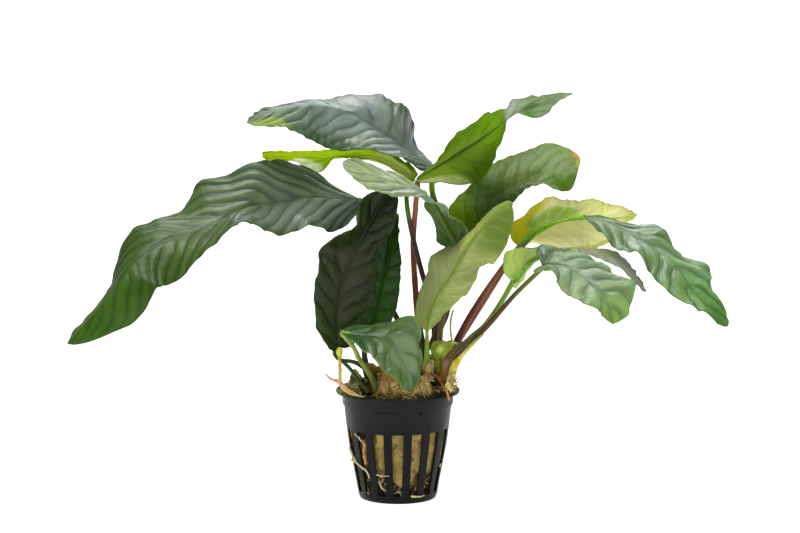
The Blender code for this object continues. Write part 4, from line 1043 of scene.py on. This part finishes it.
def plugMaterial():
    shader = Shader("plug_fibre")
    place = shader.where()
    across, depth, height = shader.split(place)
    patches = shader.noise(place, 130.0, 4.0, 0.6)
    fine = shader.noise(place, 900.0, 4.0, 0.6)
    grain = shader.noise(shader.where(stretch=(500.0, 500.0, 90.0)), 1.0, 3.0)
    ragged = patches - 0.5
    # the side: bleached fibre, dark low down and at the left where it is eaten away, partly painted shade of
    # the hollows
    side = shader.blend(patches, 0.35, 0.65, (140, 116, 58), (180, 158, 94))
    side = shader.scaled(side, shader.smooth(grain + fine * 0.3, 0.4, 0.8, 0.78, 1.12))
    dip = shader.smooth(shader.maths("ABSOLUTE", across - 0.003), 0.009, 0.002) * 0.0075
    low = shader.smooth(height + dip + ragged * 0.02, 0.0155, 0.0125)
    side = shader.mix(low, side, shader.blend(fine, 0.45, 0.62, (50, 34, 14), (126, 100, 50)))
    blots = shader.smooth(shader.noise(place, 260.0, 3.0), 0.56, 0.68)
    side = shader.mix(blots * 0.75, side, tone(84, 64, 26))
    left = shader.smooth(across + ragged * 0.01, -0.009, -0.0125) * shader.smooth(depth, 0.0, -0.004)
    side = shader.mix(left * 0.9, side, shader.blend(patches, 0.5, 0.62, (30, 22, 12), (96, 76, 34)))
    # the top: golden in the middle and rusty higher up, mossy at the left, olive at the right
    gold = shader.blend(grain + fine * 0.6, 0.6, 1.0, (196, 150, 72), (255, 232, 160))
    olive = shader.blend(patches, 0.35, 0.65, (164, 142, 74), (220, 200, 134))
    moss = shader.blend(fine + patches * 0.5, 0.62, 0.86, (66, 66, 20), (160, 158, 100))
    rust = shader.blend(patches, 0.4, 0.6, (136, 84, 38), (212, 156, 88))
    gold = shader.mix(shader.smooth(height + ragged * 0.006, 0.0545, 0.0575) * 0.85, gold, rust)
    top = shader.mix(shader.smooth(across + ragged * 0.004, 0.0055, 0.0075), gold, olive)
    top = shader.mix(shader.smooth(across + ragged * 0.006, -0.0105, -0.0125), top, moss)
    # pools of painted shadow, near black, in the top
    for middle, reach in plug["paintedShadows"]:
        far = shader.distance(place, metres(middle)) + ragged * 0.003
        shadowMask = shader.smooth(far, reach * mm, reach * mm * 0.6)
        top = shader.mix(shadowMask * 0.92, top, tone(18, 13, 4))
    # painted shade, near black, in the low places of the top between the mounds
    hollowShade = shader.smooth(height + ragged * 0.004, 0.0525, 0.0495)
    top = shader.mix(hollowShade * 0.95, top, shader.blend(fine, 0.5, 0.65, (16, 10, 3), (70, 54, 22)))
    colour = shader.mix(shader.smooth(height, 0.0445, 0.0465), side, top)
    normal = shader.bump(fine + grain * 0.6 + patches, 0.0006)
    return shader.finish(colour, 0.88, normal, {"Specular IOR Level": 0.2})


def makePlug():
    down = np.linspace(plug["shoulder"], plug["bottom"], plug["rings"])
    radii = potRadius(down) - pot["wall"] - plug["clearance"]
    profile = [(radius, plug["top"]) for radius in np.linspace(0, radii[0] - 1.2, 60)]
    profile += [(radii[0] - 0.4, plug["top"] - 0.5)] + list(zip(radii, down)) + [(0.0, plug["bottom"])]
    piece = turned("plug", profile, plug["sides"], [plugMaterial()])
    for vert in piece.data.vertices:
        place = vert.co / mm
        if place.z > plug["shoulder"] + 1.0:
            place.z = plugTop(place.x, place.y)
        elif place.z > plug["bottom"] + 0.1:
            ragged = lump(place, 0.16, 5)
            arch = plug["arch"] * math.exp(-((place.x - plug["archMiddle"]) / plug["archWidth"]) ** 2)
            lowTop = plug["hollowTop"] - arch
            low = 1 - min(1, max(0, (place.z + ragged * 3 - lowTop) / 2))
            atLeft = place.y < plug["leftDepth"] and place.z < plug["leftTop"]
            left = min(1, max(0, (plug["leftEdge"] - place.x + ragged * 2) / 2)) if atLeft else 0
            swell = ragged * plug["rough"] - 0.3 - plug["hollow"] * max(low, left) * (0.8 + 0.4 * ragged)
            place += Vector((place.x, place.y, 0)).normalized() * swell
        vert.co = place * mm
    attach(piece, "plug_fibre", "plug")


def fibreMaterial(name, first, second, scale=120.0):
    shader = Shader(name)
    place = shader.where()
    colour = shader.blend(shader.noise(place, scale, 3.0), 0.35, 0.65, first, second)
    normal = shader.bump(shader.noise(place, 1500.0, 2.0), 0.00008)
    return shader.finish(colour, 0.75, normal, {"Specular IOR Level": 0.3})


skins = {name: fibreMaterial(name, *tones) for name, tones in stuffs.items()}


def within(area, x, y):
    left, right, back = area
    return left < x < right and y < back


def makeStrands():                      # matted; every second one lies on the golden mound in front
    dice = np.random.default_rng(4)
    routes, radii = [], []
    while len(routes) < strands["count"]:
        x, y = dice.uniform(-strands["spread"], strands["spread"], 2)
        if len(routes) % 2:
            x, y = (dice.normal(middle, spread) for middle, spread in strands["front"])
        onOlive, inGap = within(strands["olive"], x, y), within(strands["gap"], x, y)
        if math.hypot(x, y) > strands["reach"] or inGap or (onOlive and len(routes) % 5):
            continue
        angle = dice.choice([0, math.pi]) + dice.normal(0, strands["turn"])
        length = dice.uniform(*strands["length"])
        bend = dice.uniform(-strands["bend"], strands["bend"])
        least, more, arch = strands["lift"]
        route = []
        for step in np.linspace(0, 1, 6):
            turn = angle + bend * step * 2
            px, py = x + math.cos(turn) * length * step, y + math.sin(turn) * length * step
            reach = math.hypot(px, py)
            if reach > strands["wall"]:
                px, py = px * strands["wall"] / reach, py * strands["wall"] / reach
            lift = least + dice.uniform(0, more) + arch * math.sin(step * math.pi) * dice.uniform(0, 1)
            route.append((px, py, plugTop(px, py) + lift))
        routes.append(smoothRoute(route, np.linspace(0, 1, strands["points"])))
        radii.append(np.linspace(1, 0.5, strands["points"]) * dice.uniform(*strands["radius"]))
    third = len(routes) // 3
    parts = (("fibres_tan", slice(third, None), "fibre_tan"), ("fibres_brown", slice(third), "fibre_brown"))
    for name, part, stuff in parts:
        attach(bundle(name, routes[part], radii[part], strands["sides"], skins[stuff]), "plug_fibre")


def makeLitter(name, stuff, count, seed, middle, spread, sizes, heap=0.0, onRim=False):
    dice = np.random.default_rng(seed)
    routes, radii = [], []
    while len(routes) < count:
        x, y = dice.normal(middle[0], spread[0]), dice.normal(middle[1], spread[1])
        reach = math.hypot(x, y)
        if (reach > wallReach) != onRim or reach > flangeReach:
            continue
        size = dice.uniform(*sizes)
        heading = unit(dice.normal(size=3)) * size
        far = ((x - middle[0]) / spread[0]) ** 2 + ((y - middle[1]) / spread[1]) ** 2
        lift = heap * dice.uniform() * math.exp(-far / 2)
        start = np.array([x, y, (pot["top"] if onRim else plugTop(x, y)) + size * 0.3 + lift])
        routes.append(np.array([start + heading * share for share in (-1.0, -0.4, 0.4, 1.0)]))
        radii.append(np.array([0.35, 0.9, 0.8, 0.3]) * size)
    attach(bundle(name, routes, radii, 6, skins[stuff]), "plug_fibre")


makePlug()
makeStrands()
for name, values in litter.items():
    makeLitter(name, **values)
print("plug done")


# Rhizome, buds and the dry sheath, in mm. A point of the route is (x, y, z, radius). A knob is (place, half
# width, half height, lean in degrees), and those in "joined" grow out of the rhizome.

rhizome = {"route": [(-15, -6, 50, 3.6), (-13, -6, 50, 5.0), (-10, -4, 51, 5.6), (-7, -3, 52, 4.8),
                     (-4, -2, 53, 5.4), (-1, -1, 54, 4.8), (2, 0, 54, 5.6), (5, 1, 54, 5.1), (8, 1, 55, 6.0),
                     (11, 1, 55, 5.6), (15, 0, 57, 7.2), (19, -1, 60, 7.8), (21, -1, 63, 7.0),
                     (22, -1, 66, 5.4), (23, -1, 68, 3.0)],
           "joined": ["node", "knob", "crown", "shoulder", "brown_node", "olive_node", "left_crown"],
           "spots": [("brown_node", 4.4, (122, 86, 18)), ("left_crown", 5.0, (96, 92, 18)),
                     ("crown_bud", 4.2, (148, 170, 56)), ("knob", 2.6, (150, 118, 30))],
           "rings": 16, "scar": 0.3, "lump": 0.3, "points": 150, "sides": 64, "voxel": 0.4}
buds = {"crown_bud": ((18.9, -9.3, 68.9), 2.6, 2.5, 12), "young_bud": ((-26, -14, 68.6), 1.45, 2.5, -6),
        "node": ((25.2, -6.2, 70.4), 2.6, 1.5, 30), "knob": ((-7.5, -7, 60), 1.9, 1.6, 0),
        "crown": ((20.5, -5.0, 67.0), 6.2, 5.2, 20), "shoulder": ((24.5, -5.2, 69.0), 3.6, 3.6, 30),
        "brown_node": ((22.2, -9.2, 60.6), 2.6, 4.6, 14), "olive_node": ((18.2, -8.2, 60.8), 3.5, 5.4, 8),
        "left_crown": ((-12.4, -6.2, 58.6), 3.6, 3.8, 20)}
knobs = {"sides": 49, "rings": 37, "bend": 0.05, "pinch": 0.12, "lump": 0.12, "lumpScale": 0.45}
# two tones, and the place of the painted highlight
budTones = {"crown_bud": ((124, 150, 14), (190, 206, 96), (19.0, -11.9, 69.8)),
            "young_bud": ((176, 170, 24), (222, 222, 90), (-26, -15.4, 69.4))}
sheath = {"route": [(14.9, -12, 65), (14.7, -12.5, 62), (14.2, -13, 59), (13.8, -13.5, 55.5)],
          "radius": 1.1, "flare": 1.1, "flatten": 0.35, "rings": 40, "sides": 40, "fold": 0.22,
          "tones": ((122, 104, 52), (168, 150, 96))}


def rhizomeMaterial():
    shader = Shader("rhizome_skin")
    place = shader.where()
    across, _, height = shader.split(place)
    patches = shader.noise(place, 160.0, 4.0, 0.6)
    fine = shader.noise(place, 900.0, 3.0)
    mottle = shader.noise(place, 420.0, 4.0, 0.65)
    ragged = patches - 0.5
    # brown at the left, green at the right and darker low down, partly its own colour and partly painted
    # shade
    brown = shader.blend(patches, 0.35, 0.62, (96, 86, 26), (156, 124, 58))
    green = shader.blend(patches * 0.5 + mottle * 0.5, 0.4, 0.6, (122, 138, 8), (188, 196, 66))
    low = shader.smooth(height + ragged * 0.008, 0.0675, 0.0635)
    green = shader.mix(low * 0.85, green, shader.blend(mottle, 0.42, 0.58, (58, 62, 2), (98, 96, 24)))
    colour = shader.mix(shader.smooth(across + ragged * 0.012, 0.009, 0.014), brown, green)
    colour = shader.mix(shader.smooth(height + ragged * 0.02, 0.060, 0.054) * 0.8, colour, tone(50, 40, 8))
    for name, reach, spot in rhizome["spots"]:
        far = shader.distance(place, metres(buds[name][0])) + (mottle - 0.5) * 0.005
        colour = shader.mix(shader.smooth(far, reach * mm, reach * mm * 0.5), colour, tone(*spot))
    # pale streaks on the shoulder, partly scars and partly painted highlight, and fine dark specks all over
    scars = shader.smooth(shader.noise(shader.where(stretch=(260.0, 260.0, 900.0)), 1.0, 2.0), 0.54, 0.66)
    pale = scars * shader.smooth(across, 0.021, 0.024) * shader.smooth(height, 0.067, 0.070)
    colour = shader.mix(pale * 0.6, colour, tone(206, 212, 150))
    colour = shader.mix(shader.smooth(fine, 0.58, 0.72) * 0.35, colour, tone(70, 52, 16))
    normal = shader.bump(fine * 0.6 + patches * 2, 0.0004)
    return shader.finish(colour, 0.45, normal, {"Specular IOR Level": 0.18})


def budMaterial(name, first, second, bright):          # greener away from its painted highlight
    shader = Shader(name)
    place = shader.where()
    patches = shader.noise(place, 260.0, 3.0)
    fine = shader.noise(place, 1300.0, 2.0)
    far = shader.distance(place, metres(bright)) + (patches - 0.5) * 0.004
    # pale at the painted highlight, greener further away
    colour = shader.blend(far, 0.0038, 0.0006, first, second)
    normal = shader.bump(fine * 0.5 + patches, 0.0001)
    return shader.finish(colour, 0.34, normal, {"Specular IOR Level": 0.35}, tone(*second), 0.1)


def makeRhizome():
    points = np.array([point[:3] for point in rhizome["route"]], float)
    share = np.linspace(0, 1, rhizome["points"])
    route = smoothRoute(points, share)
    widths = smoothValues([point[3] for point in rhizome["route"]], share)[:, 0]
    scars = np.abs(np.sin(share * math.pi * rhizome["rings"])) ** 0.35
    places = tubePlaces(route, widths - rhizome["scar"] * (1 - scars) * 2, rhizome["sides"])
    for row in places[1:-1]:
        for place in row:
            place += unit(place - row.mean(axis=0)) * lump(place, 0.3, 4) * rhizome["lump"]
        row[-1] = row[0]
    skin = rhizomeMaterial()
    pieces = [shapedGrid("rhizome", places, [skin], closed=True)]
    pieces += [makeKnob(name, skin) for name in rhizome["joined"]]
    piece = joined(pieces)
    applyModifier(piece, "REMESH", mode="VOXEL", voxel_size=rhizome["voxel"] * mm, use_smooth_shade=True)
    applyModifier(piece, "SMOOTH", factor=0.5, iterations=8)
    attach(piece, "rhizome_skin", "rhizome")


def makeKnob(name, material):
    place, wide, tall, lean = buds[name]
    turn, lift = np.meshgrid(np.linspace(0, 2 * math.pi, knobs["sides"]),
                             np.linspace(0, math.pi, knobs["rings"]))
    swell = 1 + knobs["bend"] * np.cos(turn * 2 + lift * 3) - knobs["pinch"] * np.cos(lift) * np.sin(lift)
    x = np.sin(lift) * np.cos(turn) * wide * swell
    y = np.sin(lift) * np.sin(turn) * wide * swell
    z = -np.cos(lift) * tall
    tilt = math.radians(lean)
    places = np.stack([x * math.cos(tilt) + z * math.sin(tilt) + place[0], y + place[1],
                       z * math.cos(tilt) - x * math.sin(tilt) + place[2]], axis=-1)
    for spot in places.reshape(-1, 3):
        spot += unit(spot - place) * lump(spot, knobs["lumpScale"], 3) * wide * knobs["lump"]
    places[:, -1] = places[:, 0]
    places[0] = places[0, 0]
    places[-1] = places[-1, 0]
    return shapedGrid(name, places, [material], closed=True)


def makeSheath():                       # a dry, papery sheath round the foot of the green stalk
    share = np.linspace(0, 1, sheath["rings"])
    route = smoothRoute(sheath["route"], share)
    radii = (sheath["radius"] + sheath["flare"] * share) * (1 + 0.2 * wobble(70, share, 4, 2, 9))
    places = tubePlaces(route, radii, sheath["sides"], flatten=sheath["flatten"])
    turn = np.linspace(0, 2 * math.pi, sheath["sides"] + 1)
    outwards = places - places.mean(axis=1, keepdims=True)
    folds = sheath["fold"] * np.sin(turn * 6 + 1)[None, :, None] * outwards
    skin = fibreMaterial("papery", *sheath["tones"], 300.0)
    attach(shapedGrid("papery_sheath", places + folds, [skin], closed=True), "rhizome_skin")


makeRhizome()
for name, tones in budTones.items():
    attach(makeKnob(name, budMaterial(name, *tones)), "rhizome_skin", name)
makeSheath()
print("rhizome done")


# Roots, in mm. Radii run evenly along a route, and tones are colours along it.

roots = {
    "root_over_left_rim": dict(
        route=[(-32.7, -9, 57.9), (-29.8, -10, 55.8), (-27.1, -11.5, 55), (-25.3, -13, 54),
               (-23.7, -15, 52.4), (-21.8, -17.5, 51.4), (-19, -20.5, 50.9), (-15, -24, 50.3)],
        radii=[0.3, 0.6, 0.9, 1.15, 1.1, 0.9, 0.55, 0.35],
        tones=[(0.0, (190, 186, 150)), (0.3, (214, 168, 128)), (0.6, (206, 160, 86)), (1.0, (150, 132, 96))]),
    "root_hanging_left": dict(
        route=[(-26, -14, 66.5), (-25.8, -14.5, 62), (-25.9, -14.5, 58), (-25.7, -13.8, 54.6)],
        radii=[0.75, 0.8, 0.78, 0.8],
        tones=[(0.0, (206, 176, 60)), (0.4, (206, 168, 84)), (1.0, (214, 170, 90))]),
    "root_right_sheath": dict(
        route=[(38.5, -13, 77), (34.1, -13, 72.9), (30.1, -13.5, 68.4), (27.6, -14, 65.8), (25.7, -14, 63.4),
               (24.8, -14, 61), (24.5, -14, 58.6), (24.3, -14.5, 56.4)],
        radii=[0.35, 0.6, 0.75, 0.75, 1.0, 1.7, 1.8, 1.3],
        tones=[(0.0, (136, 150, 50)), (0.35, (168, 176, 62)), (0.52, (206, 204, 110)), (0.64, (176, 164, 24)),
               (0.8, (198, 180, 78)), (1.0, (190, 174, 106))]),
    "root_over_right_rim": dict(
        route=[(14.6, -15.6, 59.6), (15.6, -16, 59), (17.7, -16.5, 57.9), (19.3, -17, 55.8),
               (20.4, -17.8, 53.6), (21.5, -19, 52.1), (22.5, -19.8, 50), (22.8, -20, 48.1)],
        radii=[0.5, 0.9, 0.8, 0.6, 0.6, 0.55, 0.5, 0.45],
        tones=[(0.0, (84, 40, 14)), (0.35, (104, 56, 14)), (0.6, (124, 74, 24)), (0.8, (180, 124, 66)),
               (1.0, (208, 152, 84))]),
    "aerial_root": dict(
        route=[(24.8, -3, 86), (24, -4, 82), (23.7, -4.5, 77.3), (24.5, -6, 71.8)],
        radii=[0.4, 0.45, 0.45, 0.5],
        tones=[(0.0, (140, 150, 50)), (1.0, (170, 176, 80))]),
}
# (x, height) pairs on the pot's front, how far the root stands out of the wall there, its radius and kind
slotRoots = [
    ([(-19.1, 31.4), (-17.1, 29.4), (-14.6, 26.9)], -0.2, 0.5, "pale"),
    ([(-14.7, 28.5), (-14.9, 23), (-14.4, 17.5)], -1.8, 1.2, "orange"),
    ([(-21.9, 23.2), (-19.6, 19), (-16.7, 16), (-14.3, 14.9), (-12.7, 11.7)], 0.4, 0.55, "pale"),
    ([(-21.1, 17.1), (-18.4, 17.3), (-16.3, 16.1)], 0.4, 0.5, "pale"),
    ([(-19, 12.3), (-18.6, 10.2), (-17.7, 9.9)], -1.5, 0.45, "pale"),
    ([(-9.6, 13.4), (-6.2, 13.3), (-3.7, 13.5)], 0.2, 0.3, "pale"),
    ([(-8.6, 10.4), (-7, 7.1), (-5, 5.6)], -1.5, 0.6, "pale"),
    ([(-0.5, 5.8), (1.1, 4.9), (1.9, 3.1)], -1.5, 0.4, "pale"),
    ([(5.9, 3.8), (9.2, 3.1), (12, 3.2)], 0.3, 0.5, "pale"),
    ([(-21.2, 33.2), (-20.8, 29)], -0.5, 0.35, "orange"),
    ([(-14.3, 4), (-12.3, 3.2)], -0.6, 0.35, "pale"),
    ([(19, 16.3), (19.7, 11.3)], -0.3, 0.4, "pale"),
]
# short roots behind the slots, a fan that hangs from the right sheath, and loose roots: how many, and the
# ranges that their places are drawn from, in mm and radians
fineRoots = {"slots": 44, "slotsAcross": (-15, 15), "slotsHeight": (3.5, 12), "slotsOut": (-3.2, -1.4),
             "slotsRadius": (0.12, 0.4), "brownShare": 0.6,
             "fan": 36, "fanAcross": (22.8, 26.2), "fanTop": (56.5, 61), "fanFoot": (22.9, -18, 51.2),
             "fanRadius": (0.14, 0.32),
             "loose": 16, "looseAngle": (-2.9, -0.3), "looseReach": (12, 21), "looseRadius": (0.14, 0.26),
             "points": 14, "sides": 8,
             "overRim": [((25.4, -14.6, 55.2), (27.3, -13.6, 57.8)),
                         ((25.8, -14.4, 54.6), (27.8, -13.4, 56.6)),
                         ((23.8, -17.4, 52.8), (28, -15, 53.9)), ((24.4, -17, 52.2), (27.2, -14.6, 54.6))],
             "tones": {"pale": ((176, 166, 116), (216, 208, 172)), "orange": ((160, 106, 46), (214, 160, 92)),
                       "yellow": ((150, 124, 56), (222, 206, 134)), "brown": ((104, 78, 38), (164, 132, 78))}}


def wander(route, dice, share, size):
    places = smoothRoute(route, share)
    return places + size * np.stack([wobble(dice.integers(9999), share, 3, 1, 4) for _ in range(3)], axis=1)


def onPot(x, height, out):              # a place on the front of the pot's wall
    radius = potRadius(height) + out
    return (x, -math.sqrt(max(radius ** 2 - x ** 2, 1.0)), height)


def halfWay(start, end, dice):
    return [(a + b) / 2 + dice.normal(0, 0.3) for a, b in zip(start, end)]


def makeRoots():
    dice = np.random.default_rng(21)
    share = np.linspace(0, 1, 50)
    for name, root in roots.items():
        swell = 1 + 0.07 * wobble(dice.integers(9999), share, 4, 3, 12)
        radii = smoothValues(root["radii"], share)[:, 0] * swell
        route = wander(root["route"], dice, share, 0.15)
        attach(tube(name, route, radii, 14, stalkMaterial(name, root["tones"])), "root_skin", name)


def makeFineRoots():
    dice = np.random.default_rng(8)
    share = np.linspace(0, 1, fineRoots["points"])
    even = np.ones(fineRoots["points"])
    routes = {kind: [] for kind in fineRoots["tones"]}
    radii = {kind: [] for kind in fineRoots["tones"]}
    for points, out, radius, kind in slotRoots:
        routes[kind].append(wander([onPot(x, height, out) for x, height in points], dice, share, 0.2))
        swell = 1 + 0.15 * wobble(dice.integers(9999), share, 3, 2, 6)
        radii[kind].append(radius * (1 - 0.4 * share) * swell)
    for _ in range(fineRoots["slots"]):          # short roots in the hollow behind the slots
        x, height = dice.uniform(*fineRoots["slotsAcross"]), dice.uniform(*fineRoots["slotsHeight"])
        points = [onPot(x + dx, max(height + dy, 3), dice.uniform(*fineRoots["slotsOut"]))
                  for dx, dy in dice.normal(0, 1.6, (3, 2))]
        kind = "brown" if dice.uniform() < fineRoots["brownShare"] else "pale"
        routes[kind].append(wander(points, dice, share, 0.2))
        radii[kind].append(even * dice.uniform(*fineRoots["slotsRadius"]))
    footX, footY, footZ = fineRoots["fanFoot"]
    for _ in range(fineRoots["fan"]):            # strands that hang from the foot of the right sheath
        x, top = dice.uniform(*fineRoots["fanAcross"]), dice.uniform(*fineRoots["fanTop"])
        end = (footX + (x - 24.5) * 1.1 + dice.normal(0, 0.5), footY + dice.normal(0, 0.6),
               footZ + dice.uniform(0, 1.6))
        start = (x, -15.9 + abs(x - 24.8) * 0.7, top)
        middle = halfWay(start, end, dice)
        middle[1] -= 0.5
        routes["yellow"].append(wander([start, middle, end], dice, share, 0.25))
        thick = dice.uniform(*fineRoots["fanRadius"])
        radii["yellow"].append(np.linspace(0.8, 1, fineRoots["points"]) * thick)
    for start, end in fineRoots["overRim"]:
        middle = halfWay(start, end, dice)
        routes["yellow"].append(wander([start, middle, end], dice, share, 0.3))
        radii["yellow"].append(np.linspace(1, 0.6, fineRoots["points"]) * 0.28)
    for _ in range(fineRoots["loose"]):          # single roots over the crumbs
        angle, reach = dice.uniform(*fineRoots["looseAngle"]), dice.uniform(*fineRoots["looseReach"])
        x, y = reach * math.cos(angle), reach * math.sin(angle)
        points = []
        for dx, dy in np.cumsum(dice.normal(0, 1.8, (4, 2)), axis=0):
            px, py = x + dx, y + dy
            keep = min(1, (wallReach - 0.2) / math.hypot(px, py))
            points.append((px * keep, py * keep, plugTop(px * keep, py * keep) + 0.4))
        routes["yellow"].append(wander(points, dice, share, 0.2))
        radii["yellow"].append(even * dice.uniform(*fineRoots["looseRadius"]))
    for kind, tones in fineRoots["tones"].items():
        skin = fibreMaterial("roots_" + kind, *tones, 300.0)
        attach(bundle("roots_" + kind, routes[kind], radii[kind], fineRoots["sides"], skin), "root_skin")


makeRoots()
makeFineRoots()
print("roots done")


# Floor, lights and camera

studio = {"world": 0.35, "floor": (0.45, 0.45, 0.45, 1.0), "floorShade": (0.43, 0.43, 0.43, 1.0),
          "floorSize": 40.0, "glow": 0.78,
          "suns": [("overhead", (-0.25, -0.2, 1.0), 38.0, 2.8), ("behind", (0.1, 0.9, 1.0), 40.0, 1.3),
                   ("side", (0.9, -0.5, 0.45), 40.0, 0.4)],
          "camera": (0.001, -1.1995, 0.2793), "target": (0.001, 0.0, 0.1054), "lens": 121.2}


def makeStudio():
    world = bpy.data.worlds.new("studio")
    bpy.context.scene.world = world
    world.use_nodes = True
    world.node_tree.nodes["Background"].inputs["Color"].default_value = (1, 1, 1, 1)
    world.node_tree.nodes["Background"].inputs["Strength"].default_value = studio["world"]
    bpy.ops.mesh.primitive_plane_add(size=studio["floorSize"])
    floor = bpy.context.object
    floor.name = "floor"
    shader = Shader("floor")
    grain = shader.noise(shader.where(), 30.0)
    colour = shader.mix(grain, studio["floor"], studio["floorShade"])
    fixed = {"Specular IOR Level": 0.2, "Emission Color": (1, 1, 1, 1), "Emission Strength": studio["glow"]}
    floor.data.materials.append(shader.finish(colour, 0.8, shader.bump(grain, 0.0001), fixed))
    for name, place, spread, strength in studio["suns"]:
        bpy.ops.object.light_add(type="SUN", location=place)
        light = bpy.context.object
        light.name = name
        light.data.angle = math.radians(spread)
        light.data.energy = strength
        light.rotation_euler = Vector(place).to_track_quat("Z", "Y").to_euler()
    bpy.ops.object.camera_add(location=studio["camera"])
    camera = bpy.context.object
    camera.rotation_euler = (Vector(studio["target"]) - camera.location).to_track_quat("-Z", "Y").to_euler()
    camera.data.lens = studio["lens"]
    camera.data.sensor_width = 36
    bpy.context.scene.camera = camera
    bpy.context.scene.view_settings.view_transform = "Standard"


makeStudio()
